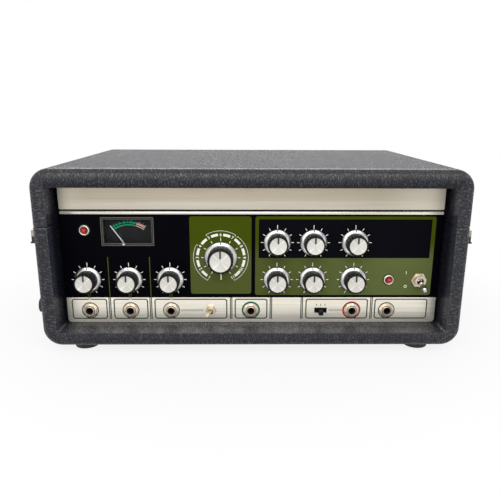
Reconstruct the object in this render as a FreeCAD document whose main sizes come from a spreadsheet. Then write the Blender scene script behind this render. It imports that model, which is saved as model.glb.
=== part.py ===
# Tape echo unit in a carrying case: a parametric FreeCAD document, in millimetres.
#
# Everything is drawn in the case's own frame: X across the case from its middle, Y from the front
# edge of the case towards its back, Z up from the underside of the case. Each sub-part's Placement
# then moves it so that the origin is at the middle of the whole unit's footprint, on the floor.
import FreeCAD, Part
import math
import os
import Sketcher

DRIVING_SIZES = {
    # case
    "case_width": 415.0, "case_depth": 270.0, "case_height": 175.7, "case_wall": 15.0,
    "roof_thickness": 17.0, "back_wall": 12.0, "seam_height": 121.0, "seam_gap": 0.4,
    "case_corner": 18.5, "case_edge": 8.0, "cavity_corner": 6.0,
    "vent_low": 28.0, "vent_drop": 33.0, "vent_half_width": 160.0, "rebate_margin": 8.0,
    "rebate_depth": 3.0,
    # feet
    "foot_height": 9.3, "foot_radius": 13.5, "foot_taper": 1.5, "foot_recess": 5.0,
    "foot_recess_depth": 4.0, "foot_inset_x": 35.5, "foot_inset_y": 29.0,
    "side_foot_radius": 9.0, "side_foot_low": 34.0, "side_foot_drop": 17.0,
    "side_foot_front": 30.0, "side_foot_behind": 70.0,
    # carrying handle
    "handle_middle_y": 135.0, "handle_span": 168.0, "handle_cap_length": 22.0,
    "handle_cap_width": 32.0, "handle_cap_height": 9.0, "handle_z": 62.0, "strap_width": 26.0,
    "strap_thickness": 4.0, "strap_seat": 2.0, "strap_reach": 22.0, "strap_ramp": 26.0,
    # rear hinges
    "hinge_offset": 4.0, "hinge_knuckle": 3.6, "hinge_pin": 1.5, "hinge_x": 120.0,
    "hinge_width": 50.0, "hinge_leaf": 1.5, "hinge_leaf_height": 22.0, "knuckle_gap": 0.3,
    "pin_clearance": 0.05,
    # side latches
    "latch_front": 20.0, "latch_width": 26.0, "latch_base_drop": 3.0, "latch_base_height": 21.0,
    "latch_sheet": 1.5, "lever_pivot_out": 4.0, "lever_pivot_drop": 7.0, "claw_pivot_drop": 11.0,
    "latch_pin": 1.0, "lever_tip_drop": 20.2, "lever_face_out": 7.6, "lever_lip_out": 10.4,
    "claw_face_out": 5.6, "claw_sheet": 1.3, "claw_rise": 4.5, "claw_hook_out": 3.4,
    "strike_out": 3.0, "strike_sheet": 1.3, "latch_gap": 0.4,
    # chassis and front panel
    "panel_recess": 28.0, "panel_sheet": 2.0, "panel_side_gap": 2.8, "panel_low_gap": 0.3,
    "panel_top_gap": 0.8, "panel_corner": 4.0, "chassis_sheet": 1.5, "chassis_gap": 6.2,
    "chassis_flange": 12.0,
    "bead_low": 129.2, "bead_high": 132.2, "bead_out": 2.5, "band_low": 133.9, "band_out": 1.2,
    # rows and columns of the controls
    "row_low": 61.6, "row_high": 100.4, "row_jacks": 28.4, "mode_row": 84.7, "peak_row": 112.9,
    "mic_one_x": -166.3, "mic_two_x": -124.6, "instrument_x": -83.0, "mode_x": -31.5,
    "bass_x": 25.1, "treble_x": 61.3, "volume_x": 103.0, "right_lamp_x": 139.3,
    "power_x": 169.8, "level_x": 71.0, "return_x": -1.1, "echo_switch_x": -42.2,
    # knobs
    "knob_skirt": 13.5, "knob_body": 10.3, "knob_cap": 9.0, "mode_skirt": 16.8, "mode_body": 12.9,
    "mode_cap": 11.0, "knob_gap": 0.6, "skirt_rim": 0.9, "skirt_height": 3.4, "knob_height": 12.0,
    "cap_thickness": 0.8, "pointer_width": 1.2, "flute_count": 18.0, "flute_depth": 0.9,
    "knob_facets": 30.0,
    "shaft_radius": 3.0, "shaft_clearance": 0.05,
    # pots and rotary switch behind the panel
    "bushing_radius": 4.5, "hole_clearance": 0.15, "pot_can": 12.0, "pot_depth": 12.0,
    "rotary_can": 16.0, "rotary_depth": 24.0, "shaft_depth": 9.0,
    # jacks
    "jack_bore": 3.2, "jack_barrel": 4.7, "jack_out": 3.2, "jack_nut": 7.8, "jack_nut_height": 2.4,
    "jack_body": 14.0, "jack_body_depth": 24.0, "jack_bore_length": 27.0,
    # lamps and switches
    "lamp_bezel": 5.7, "lamp_barrel": 4.2, "lamp_bore": 3.3, "lamp_out": 2.2, "lamp_lens": 3.1,
    "lamp_dome": 2.6, "lamp_barrel_depth": 8.0, "lamp_body_depth": 16.0,
    "toggle_nut": 8.0, "toggle_nut_height": 2.4, "toggle_barrel": 5.6, "toggle_out": 7.5,
    "toggle_bore": 3.4, "toggle_body_depth": 22.0, "toggle_body": 14.0, "toggle_tilt": 13.0,
    "bat_length": 18.0, "bat_root": 1.5, "bat_tip": 2.9, "bat_trunnion": 2.6,
    "bat_trunnion_width": 3.6,
    "echo_toggle_scale": 0.72, "level_frame_width": 12.8, "level_frame_height": 5.3,
    "level_slot_width": 10.8, "level_slot_height": 3.0, "slider_width": 4.0, "slider_out": 3.0,
    # level meter
    "meter_left": -149.7, "meter_right": -97.7, "meter_low": 97.2, "meter_high": 126.0,
    "meter_bezel": 2.0, "meter_bezel_out": 1.2, "meter_margin": 3.0, "meter_depth": 30.0,
    "meter_wall": 1.5, "needle_x": -127.1, "needle_z": 94.2, "needle_length": 26.4,
    "needle_width": 0.8, "needle_rest": 35.5, "needle_hub": 2.2, "needle_pin": 0.9,
    "dial_depth": 7.0, "movement_width": 20.0, "movement_height": 22.0,
    # deck and tape transport
    "deck_height": 110.5, "deck_sheet": 1.5, "deck_front": 62.0, "deck_back_gap": 6.0,
    "tank_left": -140.0, "tank_right": 95.0, "tank_front": 125.0, "tank_back_gap": 12.0,
    "tank_wall": 2.5, "tank_floor": 1.6, "tank_height": 13.0, "tank_mouth": 7.0,
    "window_sheet": 2.0, "window_overhang": 2.0, "thumbscrew_inset": 8.0,
    "thumbscrew_radius": 5.0, "thumbscrew_height": 7.0,
    "tape_width": 6.3, "tape_thickness": 0.5, "tape_lift": 4.0, "tape_run_y": 100.0,
    "tape_return_y": 136.0, "tape_left": -160.0, "tape_right": 153.0, "post_bend": 8.0,
    "fold_margin": 18.0, "fold_left": -95.0, "fold_right": 65.0, "fold_step": 15.0,
    "tape_gap": 0.3,
    "erase_x": -120.0, "record_x": -82.0, "first_play_x": -34.0, "second_play_x": 6.0,
    "third_play_x": 46.0, "head_width": 14.0, "head_depth": 17.0, "head_height": 12.0,
    "head_round": 16.0,
    "capstan_x": 110.0, "capstan_radius": 3.0, "capstan_rise": 15.0,
    "flywheel_radius": 34.0, "flywheel_drop": 6.5, "flywheel_thickness": 10.0, "bearing_radius": 7.0,
    "roller_radius": 10.0, "roller_pin": 2.0, "arm_pivot_x": 140.0, "arm_pivot_y": 86.0,
    "arm_swing": 12.0, "arm_sheet": 1.6, "arm_half_width": 6.0, "arm_hub_height": 5.0,
    "arm_shaft_depth": 5.0, "roller_height": 10.0, "roller_pin_height": 13.0,
    "motor_x": 30.0, "motor_y": 190.0, "motor_radius": 26.0, "motor_reverb_gap": 5.5,
    "motor_drop": 20.5, "motor_shaft": 2.5, "pulley_radius": 8.0, "belt_thickness": 1.0,
    "belt_height": 4.0, "press_gap": 0.02, "bridge_width": 14.0, "bridge_drop": 7.6,
    "bridge_sheet": 2.0, "bridge_end_gap": 0.2, "bridge_post": 3.0, "bridge_post_gap": 5.0,
    "motor_shaft_seat": 12.0, "motor_flange": 4.0,
    # rear panel fittings
    "fuse_x": -130.0, "fuse_barrel": 6.0, "fuse_flange": 9.0, "fuse_depth": 16.0, "fuse_cap": 7.2,
    "gland_x": 130.0, "gland_barrel": 7.0, "gland_nut": 10.0, "gland_reach": 10.0, "cord_bore": 3.6,
    "cord_bore_length": 8.0, "back_screw": 3.0, "back_screw_height": 1.2,
    # transformer, boards and spring reverb tank
    "transformer_x": -140.0, "transformer_back_gap": 24.0, "core_width": 70.0, "core_depth": 60.0,
    "core_height": 52.0, "winding_width": 46.0, "winding_depth": 84.0, "winding_inset": 8.0,
    "board_sheet": 1.6, "main_board_width": 340.0, "main_board_front": 62.0,
    "main_board_gap": 10.0, "main_board_lift": 9.0, "head_board_left": -150.0,
    "head_board_right": -10.0, "head_board_front": 75.0, "head_board_back": 150.0,
    "head_board_drop": 12.0, "standoff_radius": 3.0, "standoff_inset": 8.0, "reverb_x": 37.5,
    "reverb_back_gap": 12.0, "reverb_width": 235.0, "reverb_height": 26.0,
    "reverb_flange": 12.0, "reverb_sheet": 1.2,
}

# control knobs: name -> (column, row)
SMALL_KNOBS = {
    "mic_one_knob": ("mic_one_x", "row_low"),
    "mic_two_knob": ("mic_two_x", "row_low"),
    "instrument_knob": ("instrument_x", "row_low"),
    "bass_knob": ("bass_x", "row_high"),
    "treble_knob": ("treble_x", "row_high"),
    "reverb_volume_knob": ("volume_x", "row_high"),
    "repeat_rate_knob": ("bass_x", "row_low"),
    "intensity_knob": ("treble_x", "row_low"),
    "echo_volume_knob": ("volume_x", "row_low"),
}
JACK_COLUMNS = ("mic_one_x", "mic_two_x", "instrument_x", "return_x", "volume_x", "right_lamp_x")
LAMPS = (("mic_one_x", "peak_row"), ("right_lamp_x", "row_low"))
HEADS = (("erase", "erase_x"), ("record", "record_x"), ("first_play", "first_play_x"),
         ("second_play", "second_play_x"), ("third_play", "third_play_x"))


class Size:
    """A number together with the sheet expression that gives it."""

    def __init__(self, value, text):
        self.value = float(value)
        self.text = text

    @staticmethod
    def of(other):
        return other if isinstance(other, Size) else Size(other, repr(float(other)))

    def joined(self, other, sign, value):
        return Size(value, f"({self.text} {sign} {other.text})")

    def __add__(self, other):
        other = Size.of(other)
        return self.joined(other, "+", self.value + other.value)

    def __sub__(self, other):
        other = Size.of(other)
        return self.joined(other, "-", self.value - other.value)

    def __mul__(self, other):
        other = Size.of(other)
        return self.joined(other, "*", self.value * other.value)

    def __truediv__(self, other):
        other = Size.of(other)
        return self.joined(other, "/", self.value / other.value)

    def __radd__(self, other):
        return Size.of(other) + self

    def __rsub__(self, other):
        return Size.of(other) - self

    def __rmul__(self, other):
        return Size.of(other) * self

    def __neg__(self):
        return self * -1


def sine(angle):
    angle = Size.of(angle)
    return Size(math.sin(math.radians(angle.value)), f"sin({angle.text})")


def cosine(angle):
    angle = Size.of(angle)
    return Size(math.cos(math.radians(angle.value)), f"cos({angle.text})")


class SizeTable:
    """Reads the driving sizes back from the spreadsheet, each as a Size."""

    def __init__(self, sheet):
        self.sheet = sheet

    def __getattr__(self, alias):
        return Size(getattr(self.sheet, alias), f"{self.sheet.Name}.{alias}")

    def __getitem__(self, alias):
        return getattr(self, alias)


document = FreeCAD.newDocument("tape_echo_unit")


def make_sheet():
    sheet = document.addObject("Spreadsheet::Sheet", "Sizes")
    for row, (alias, value) in enumerate(DRIVING_SIZES.items(), start=1):
        sheet.set(f"A{row}", alias)
        sheet.set(f"B{row}", str(value))
        sheet.setAlias(f"B{row}", alias)
    document.recompute()
    return sheet


S = SizeTable(make_sheet())
NODES = {}

# ---------------------------------------------------------------- shared places
HALF_WIDTH = S.case_width / 2
INNER_HALF = HALF_WIDTH - S.case_wall
INNER_BACK = S.case_depth - S.back_wall
ROOF = S.case_height - S.roof_thickness
SEAM_TOP = S.seam_height + S.seam_gap
PANEL_FRONT = S.panel_recess
PANEL_BACK = S.panel_recess + S.panel_sheet
PANEL_HALF = INNER_HALF - S.panel_side_gap
PANEL_LOW = S.case_wall + S.panel_low_gap
PANEL_TOP = ROOF - S.panel_top_gap
CASE_FLOOR = S.case_wall + S.chassis_sheet
DECK_TOP = S.deck_height + S.deck_sheet
HINGE_Y = S.case_depth + S.hinge_offset
TAPE_LOW = DECK_TOP + S.tape_lift - 0.8
CAPSTAN_Y = S.tape_run_y + S.tape_thickness / 2 + S.tape_gap + S.capstan_radius
HANDLE_REACH = S.strap_reach + S.strap_seat
TOGGLE_PIVOT_OUT = S.toggle_out / 2
VENT_HIGH = S.seam_height - S.vent_drop
REAR_FITTING_Z = (S.vent_low + VENT_HIGH) / 2
LEVER_PIVOT_Z = S.seam_height - S.lever_pivot_drop
CLAW_PIVOT_Z = S.seam_height - S.claw_pivot_drop
LEVER_TIP_Z = S.seam_height - S.lever_tip_drop
CLAW_TOP = S.seam_height + S.claw_rise
TANK_BACK = INNER_BACK - S.tank_back_gap
FLYWHEEL_HIGH = S.deck_height - S.flywheel_drop
FLYWHEEL_LOW = FLYWHEEL_HIGH - S.flywheel_thickness
MOTOR_HIGH = S.deck_height - S.motor_drop
SHIFT_X = (S.lever_lip_out - HANDLE_REACH) / 2
SHIFT_Y = -(S.case_depth + S.gland_reach) / 2
SHIFT_Z = S.foot_height

AXIS_TURN = {
    "+z": FreeCAD.Rotation(),
    "-z": FreeCAD.Rotation(FreeCAD.Vector(1, 0, 0), 180),
    "+x": FreeCAD.Rotation(FreeCAD.Vector(0, 1, 0), 90),
    "-x": FreeCAD.Rotation(FreeCAD.Vector(0, 1, 0), -90),
    "+y": FreeCAD.Rotation(FreeCAD.Vector(1, 0, 0), -90),
    "-y": FreeCAD.Rotation(FreeCAD.Vector(1, 0, 0), 90),
}


# ---------------------------------------------------------------- document helpers
def bind(item, **properties):
    """Bind properties of a document object to sheet expressions."""
    for name, size in properties.items():
        size = Size.of(size)
        setattr(item, name, size.value)
        item.setExpression(name, size.text)
    return item


def put(item, x=0, y=0, z=0, axis="+z", turn=None):
    """Place an object at x, y, z with its own +Z along axis."""
    rotation = AXIS_TURN[axis] if turn is None else turn
    place = [Size.of(value) for value in (x, y, z)]
    base = FreeCAD.Vector(*[size.value for size in place])
    item.Placement = FreeCAD.Placement(base, rotation)
    for letter, size in zip("xyz", place):
        item.setExpression(f"Placement.Base.{letter}", size.text)
    return item


def box(name, x, y, z):
    """A block between low and high values along each axis."""
    item = document.addObject("Part::Box", name)
    bind(item, Length=x[1] - x[0], Width=y[1] - y[0], Height=z[1] - z[0])
    return put(item, x[0], y[0], z[0])


def centred(middle, width):
    return (Size.of(middle) - Size.of(width) / 2, Size.of(middle) + Size.of(width) / 2)


def rod(name, radius, length, x=0, y=0, z=0, axis="+z"):
    item = document.addObject("Part::Cylinder", name)
    bind(item, Radius=radius, Height=length)
    return put(item, x, y, z, axis)


def cone(name, low_radius, high_radius, length, x=0, y=0, z=0, axis="+z"):
    item = document.addObject("Part::Cone", name)
    bind(item, Radius1=low_radius, Radius2=high_radius, Height=length)
    return put(item, x, y, z, axis)


def prism(name, sides, radius, length, x=0, y=0, z=0, axis="+z"):
    item = document.addObject("Part::Prism", name)
    item.Polygon = sides
    bind(item, Circumradius=radius, Height=length)
    return put(item, x, y, z, axis)


def fuse(name, *pieces):
    item = document.addObject("Part::MultiFuse", name)
    item.Shapes = list(pieces)
    item.Refine = True
    return item


def cut(name, base, *tools):
    item = document.addObject("Part::Cut", name)
    item.Base = base
    if len(tools) == 1:
        item.Tool = tools[0]
    else:
        group = document.addObject("Part::Compound", name + "_tools")
        group.Links = list(tools)
        item.Tool = group
    return item


def ring(name, outer, inner, length, x=0, y=0, z=0, axis="+z"):
    return cut(name, rod(name + "_outer", outer, length, x, y, z, axis),
               rod(name + "_inner", inner, length, x, y, z, axis))


def copy_of(name, source, x=0, y=0, z=0, axis="+z"):
    item = document.addObject("App::Link", name)
    item.LinkedObject = source
    return put(item, x, y, z, axis)


def node(name, *pieces, x=0, y=0, z=0):
    """Register a sub-part: one body, or several solids together, moved to the unit's origin."""
    if len(pieces) == 1 and pieces[0].TypeId == "PartDesign::Body":
        item = pieces[0]
    else:
        item = document.addObject("Part::Compound", name)
        item.Links = list(pieces)
    item.Label = name
    put(item, SHIFT_X + x, SHIFT_Y + y, SHIFT_Z + z)
    NODES[name] = item
    return item


# ---------------------------------------------------------------- sketch helpers
def new_body(name):
    return document.addObject("PartDesign::Body", name + "_body")


def new_sketch(body, plane, offset=0.0, name="outline"):
    """A sketch on one of the body's origin planes, moved along the plane's normal by offset."""
    sketch = body.newObject("Sketcher::SketchObject", f"{body.Name}_{name}")
    origin_plane = [item for item in body.Origin.OriginFeatures if item.Role == plane][0]
    sketch.AttachmentSupport = [(origin_plane, "")]
    sketch.MapMode = "FlatFace"
    offset = Size.of(offset)
    sketch.AttachmentOffset = FreeCAD.Placement(
        FreeCAD.Vector(0, 0, offset.value), FreeCAD.Rotation())
    sketch.setExpression("AttachmentOffset.Base.z", offset.text)
    return sketch


def fix(sketch, kind, where, size):
    """Add one driving dimension to a sketch and bind it to the sheet."""
    size = Size.of(size)
    index = sketch.addConstraint(Sketcher.Constraint(kind, *where, size.value))
    sketch.setExpression(f"Constraints[{index}]", size.text)


def draw_polygon(sketch, points):
    """A closed outline with every corner dimensioned from the sketch's origin."""
    corners = [(Size.of(x), Size.of(y)) for x, y in points]
    ends = corners[1:] + corners[:1]
    lines = [Part.LineSegment(FreeCAD.Vector(a[0].value, a[1].value, 0),
                              FreeCAD.Vector(b[0].value, b[1].value, 0))
             for a, b in zip(corners, ends)]
    first = sketch.GeometryCount
    sketch.addGeometry(lines, False)
    count = len(lines)
    for step, corner in enumerate(corners):
        line = first + step
        sketch.addConstraint(
            Sketcher.Constraint("Coincident", line, 2, first + (step + 1) % count, 1))
        fix(sketch, "DistanceX", (-1, 1, line, 1), corner[0])
        fix(sketch, "DistanceY", (-1, 1, line, 1), corner[1])


def draw_box(sketch, x, y):
    draw_polygon(sketch, [(x[0], y[0]), (x[1], y[0]), (x[1], y[1]), (x[0], y[1])])


def draw_circle(sketch, x, y, radius):
    x, y, radius = Size.of(x), Size.of(y), Size.of(radius)
    circle = Part.Circle(FreeCAD.Vector(x.value, y.value, 0), FreeCAD.Vector(0, 0, 1), radius.value)
    index = sketch.addGeometry(circle, False)
    fix(sketch, "DistanceX", (-1, 1, index, 3), x)
    fix(sketch, "DistanceY", (-1, 1, index, 3), y)
    fix(sketch, "Radius", (index,), radius)


def pad(body, sketch, length, reverse=False):
    feature = body.newObject("PartDesign::Pad", sketch.Name + "_pad")
    feature.Profile = sketch
    feature.Reversed = reverse
    bind(feature, Length=length)
    sketch.Visibility = False
    return feature


def pocket(body, sketch, length, reverse=False):
    feature = body.newObject("PartDesign::Pocket", sketch.Name + "_pocket")
    feature.Profile = sketch
    feature.Reversed = reverse
    bind(feature, Length=length)
    return feature


def revolve(body, sketch, kind="PartDesign::Revolution", axis="V_Axis"):
    feature = body.newObject(kind, sketch.Name + "_turn")
    feature.Profile = sketch
    feature.ReferenceAxis = (sketch, [axis])
    feature.Angle = 360
    return feature


def round_edges(body, base, radius, chosen, name="rounding"):
    """Fillet the edges of the base feature that the test picks."""
    document.recompute()
    names = [f"Edge{index}" for index, edge in enumerate(base.Shape.Edges, start=1) if chosen(edge)]
    feature = body.newObject("PartDesign::Fillet", f"{body.Name}_{name}")
    feature.Base = (base, names)
    bind(feature, Radius=radius)
    return feature


def is_through(edge):
    """Whether an edge runs along Y, through a sheet that faces the front."""
    return edge.BoundBox.YLength > 0.1


def lies_at(edge, axis, value, slack=0.01):
    """Whether the whole edge lies at one value of x, y or z."""
    box_of = edge.BoundBox
    low, high = getattr(box_of, axis + "Min"), getattr(box_of, axis + "Max")
    return abs(low - value) < slack and abs(high - value) < slack


# ---------------------------------------------------------------- the case
def case_shell(name, low, high, rounded_low, cavity_low, cavity_high):
    """One half of the case: a block with two rounded long corners, hollowed from the front."""
    body = new_body(name)
    outline = new_sketch(body, "XZ_Plane")
    draw_box(outline, (-HALF_WIDTH, HALF_WIDTH), (low, high))
    block = pad(body, outline, S.case_depth, reverse=True)
    outer = low if rounded_low else high
    open_side = high if rounded_low else low

    def is_long_corner(edge):
        return lies_at(edge, "Z", outer.value) and edge.BoundBox.XLength < 0.1

    corners = round_edges(body, block, S.case_corner, is_long_corner, "long_corners")

    def is_outer_rim(edge):
        at_end = lies_at(edge, "Y", 0) or lies_at(edge, "Y", S.case_depth.value)
        return at_end and not lies_at(edge, "Z", open_side.value)

    round_edges(body, corners, S.case_edge, is_outer_rim, "front_and_back_edges")
    hollow = new_sketch(body, "XZ_Plane", 0.0, "hollow")
    draw_box(hollow, (-INNER_HALF, INNER_HALF), (cavity_low, cavity_high))
    cavity = pocket(body, hollow, INNER_BACK)
    deep = cavity_low if rounded_low else cavity_high

    def is_cavity_corner(edge):
        at_side = abs(abs(edge.BoundBox.XMin) - INNER_HALF.value) < 0.01
        along = edge.BoundBox.YLength > INNER_BACK.value - S.case_edge.value
        return at_side and edge.BoundBox.XLength < 0.01 and along and lies_at(edge, "Z", deep.value)

    round_edges(body, cavity, S.cavity_corner, is_cavity_corner, "cavity_corners")
    return body


def lower_case():
    body = case_shell("lower_case", Size.of(0), S.seam_height, True, S.case_wall,
                      S.seam_height + 1)
    vent = new_sketch(body, "XZ_Plane", -(INNER_BACK - 1), "rear_opening")
    draw_box(vent, (-S.vent_half_width, S.vent_half_width), (S.vent_low, VENT_HIGH))
    pocket(body, vent, S.back_wall + 2)
    rebate = new_sketch(body, "XZ_Plane", -(S.case_depth - S.rebate_depth), "rear_rebate")
    margin = S.rebate_margin
    draw_box(rebate, (-S.vent_half_width - margin, S.vent_half_width + margin),
             (S.vent_low - margin, VENT_HIGH + margin))
    pocket(body, rebate, S.rebate_depth + 1)
    node("lower_case", body)


def lid_shell():
    node("lid_shell", case_shell("lid_shell", SEAM_TOP, S.case_height, False, SEAM_TOP - 1, ROOF))


def rubber_foot(name, radius):
    return cut(name,
               cone(f"{name}_cone", radius, radius - S.foot_taper, S.foot_height),
               rod(f"{name}_hole", S.foot_recess, S.foot_recess_depth + 1,
                   z=S.foot_height - S.foot_recess_depth))


def rubber_feet():
    foot = rubber_foot("foot", S.foot_radius)
    small_foot = rubber_foot("small_foot", S.side_foot_radius)
    copies = []
    for side in (-1, 1):
        x = side * (HALF_WIDTH - S.foot_inset_x)
        for y in (S.foot_inset_y, S.case_depth - S.foot_inset_y):
            copies.append(copy_of(f"bottom_foot_{len(copies)}", foot, x, y, 0, "-z"))
    upper_row = S.seam_height - S.side_foot_drop
    side_places = (
        (S.side_foot_front, S.side_foot_low),
        (S.case_depth - S.side_foot_front, S.side_foot_low),
        (S.side_foot_behind, upper_row),
        (S.case_depth - S.side_foot_behind, upper_row),
    )
    for y, z in side_places:
        copies.append(copy_of(f"side_foot_{len(copies)}", small_foot, -HALF_WIDTH, y, z, "-x"))
    node("rubber_feet", *copies)


# ---------------------------------------------------------------- handle on the right side
def handle():
    inner = S.handle_span / 2
    cap_start = inner - S.handle_cap_length
    body = new_body("handle_strap")
    outline = new_sketch(body, "XY_Plane", S.handle_z - S.strap_width / 2)
    seat = HALF_WIDTH + S.strap_seat
    top = HALF_WIDTH + S.strap_reach
    middle = S.handle_middle_y
    thick = S.strap_thickness
    bend = cap_start - S.strap_ramp
    draw_polygon(outline, [
        (seat, middle - cap_start), (seat + thick, middle - cap_start),
        (top + S.strap_seat, middle - bend), (top + S.strap_seat, middle + bend),
        (seat + thick, middle + cap_start), (seat, middle + cap_start),
        (top + S.strap_seat - thick, middle + bend), (top + S.strap_seat - thick, middle - bend),
    ])
    strap = pad(body, outline, S.strap_width)
    bend_y = [(middle - bend).value, (middle + bend).value]

    def is_bend(edge):
        return edge.BoundBox.ZLength > 1 and any(lies_at(edge, "Y", y) for y in bend_y)

    round_edges(body, strap, S.strap_ramp / 2, is_bend, "bends")
    node("handle_strap", body)
    caps = []
    for end in (-1, 1):
        near = middle + end * cap_start
        far = middle + end * inner
        low, high = (far, near) if end < 0 else (near, far)
        cap = new_body(f"handle_cap_{len(caps)}")
        face = new_sketch(cap, "YZ_Plane", HALF_WIDTH)
        draw_box(face, (low, high), centred(S.handle_z, S.handle_cap_width))
        block = pad(cap, face, S.handle_cap_height)
        reach = HALF_WIDTH + S.handle_cap_height

        def is_top_edge(edge, reach=reach):
            return lies_at(edge, "X", reach.value)

        round_edges(cap, block, S.handle_cap_height / 3, is_top_edge, "top_edges")
        caps.append(cap)
    node("handle_caps", *caps)


# ---------------------------------------------------------------- rear hinges
def hinge_leaf(name, middle, lid_side):
    """A leaf on the back of the case: the lid's has the bored middle knuckle, and the case's has
    the two outer ones with the pin fixed in them."""
    third = S.hinge_width / 3
    gap = S.knuckle_gap if lid_side else 0
    spans = [centred(middle, third - 2 * gap)] if lid_side else [
        (middle - S.hinge_width / 2, middle - third / 2),
        (middle + third / 2, middle + S.hinge_width / 2)]
    back = S.case_depth
    reach = S.hinge_knuckle
    if lid_side:
        web_z = (SEAM_TOP, SEAM_TOP + reach)
        plate_z = (web_z[1], SEAM_TOP + S.hinge_leaf_height)
    else:
        web_z = (S.seam_height - S.seam_gap - reach, S.seam_height - S.seam_gap)
        plate_z = (S.seam_height - S.hinge_leaf_height, web_z[0])
    pieces = [box(name + "_plate", centred(middle, S.hinge_width), (back, back + S.hinge_leaf), plate_z)]
    for index, span in enumerate(spans):
        width = span[1] - span[0]
        pieces.append(box(f"{name}_web_{index}", span, (back, HINGE_Y), web_z))
        pieces.append(rod(f"{name}_knuckle_{index}", reach, width, span[0], HINGE_Y, S.seam_height,
                          "+x"))
    start = middle - S.hinge_width / 2
    if lid_side:
        hole = rod(name + "_hole", S.hinge_pin + S.pin_clearance, S.hinge_width, start, HINGE_Y,
                   S.seam_height, "+x")
        return cut(name, fuse(name + "_solid", *pieces), hole)
    pieces.append(rod(name + "_pin", S.hinge_pin, S.hinge_width, start, HINGE_Y, S.seam_height, "+x"))
    return fuse(name, *pieces)


def hinges():
    case_side, lid_side = [], []
    for side in (-1, 1):
        middle = side * S.hinge_x
        tag = "left" if side < 0 else "right"
        case_side.append(hinge_leaf(f"{tag}_case_leaf", middle, False))
        lid_side.append(hinge_leaf(f"{tag}_lid_leaf", middle, True))
    node("hinge_case_leaves", *case_side)
    node("hinge_lid_leaves", *lid_side)


# ---------------------------------------------------------------- draw latches on both sides
def outward(side, low, high):
    """An interval of X that stands out of the case's side by low to high."""
    if side > 0:
        return (HALF_WIDTH + low, HALF_WIDTH + high)
    return (-(HALF_WIDTH + high), -(HALF_WIDTH + low))


def latch_base(tag, side, pivot_x):
    """A plate on the case's side with two ears and the pin that the lever turns on."""
    front, back = S.latch_front, S.latch_front + S.latch_width
    sheet, pin = S.latch_sheet, S.latch_pin
    ear_x = outward(side, 0, S.lever_pivot_out + 2 * pin)
    ear_z = centred(LEVER_PIVOT_Z, 6 * pin)
    base_top = S.seam_height - S.latch_base_drop
    return fuse(
        f"{tag}_latch_base",
        box(f"{tag}_base_plate", outward(side, 0, sheet), (front, back),
            (base_top - S.latch_base_height, base_top)),
        box(f"{tag}_front_ear", ear_x, (front, front + sheet), ear_z),
        box(f"{tag}_back_ear", ear_x, (back - sheet, back), ear_z),
        rod(f"{tag}_base_pin", pin, S.latch_width, pivot_x, front, LEVER_PIVOT_Z, "+y"))


def latch_lever(tag, side, pivot_x, front, back):
    """A folded lever between the ears: two cheeks, a face with a lip, and the claw's pin."""
    sheet, pin = S.latch_sheet, S.latch_pin
    face_in, face_out = S.lever_face_out, S.lever_face_out + sheet
    claw_reach = S.claw_face_out + S.claw_sheet - S.lever_pivot_out
    face_top = CLAW_PIVOT_Z - claw_reach - S.latch_gap
    cheek_x = outward(side, S.lever_pivot_out - 2 * pin, face_out)
    parts = []
    # the corner of a cheek that turns towards the base plate stays inside the eye's circle
    for index, y in enumerate((front, back - sheet)):
        parts.append(box(f"{tag}_cheek_{index}", cheek_x, (y, y + sheet),
                         (LEVER_TIP_Z, LEVER_PIVOT_Z)))
        parts.append(rod(f"{tag}_cheek_eye_{index}", 2.2 * pin, sheet, pivot_x, y,
                         LEVER_PIVOT_Z, "+y"))
    parts.append(box(f"{tag}_lever_face", outward(side, face_in, face_out), (front, back),
                     (LEVER_TIP_Z, face_top)))
    parts.append(box(f"{tag}_lever_lip", outward(side, face_in, S.lever_lip_out), (front, back),
                     (LEVER_TIP_Z, LEVER_TIP_Z + sheet)))
    parts.append(rod(f"{tag}_lever_pin", pin, back - front, pivot_x, front, CLAW_PIVOT_Z, "+y"))
    return cut(f"{tag}_lever", fuse(f"{tag}_lever_solid", *parts),
               rod(f"{tag}_lever_hole", pin + S.pin_clearance, S.latch_width, pivot_x,
                   S.latch_front, LEVER_PIVOT_Z, "+y"))


def latch_claw(tag, side, pivot_x, front, back):
    """A claw on the lever's pin, reaching up past the strike with a hook at its top."""
    pin, width = S.latch_pin, back - front
    outer = S.claw_face_out + S.claw_sheet
    solid = fuse(
        f"{tag}_claw_solid",
        rod(f"{tag}_claw_hub", 2 * pin, width, pivot_x, front, CLAW_PIVOT_Z, "+y"),
        box(f"{tag}_claw_root", outward(side, S.lever_pivot_out, outer), (front, back),
            (CLAW_PIVOT_Z - 1.3 * pin, CLAW_PIVOT_Z + 1.5 * pin)),
        box(f"{tag}_claw_plate", outward(side, S.claw_face_out, outer), (front, back),
            (CLAW_PIVOT_Z, CLAW_TOP)),
        box(f"{tag}_claw_hook", outward(side, S.claw_hook_out, outer), (front, back),
            (CLAW_TOP - S.latch_sheet, CLAW_TOP)))
    return cut(f"{tag}_claw", solid,
               rod(f"{tag}_claw_hole", pin + S.pin_clearance, S.latch_width, pivot_x,
                   S.latch_front, CLAW_PIVOT_Z, "+y"))


def latch_strike(tag, side, front, back):
    """A plate on the lid with the lip that the claw's hook stands over."""
    low = SEAM_TOP + 2 * S.latch_gap
    sheet = S.strike_sheet
    return fuse(
        f"{tag}_strike",
        box(f"{tag}_strike_plate", outward(side, 0, sheet),
            (S.latch_front, S.latch_front + S.latch_width), (low, low + S.latch_width / 2)),
        box(f"{tag}_strike_lip", outward(side, 0, S.strike_out), (front, back), (low, low + sheet)))


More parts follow.
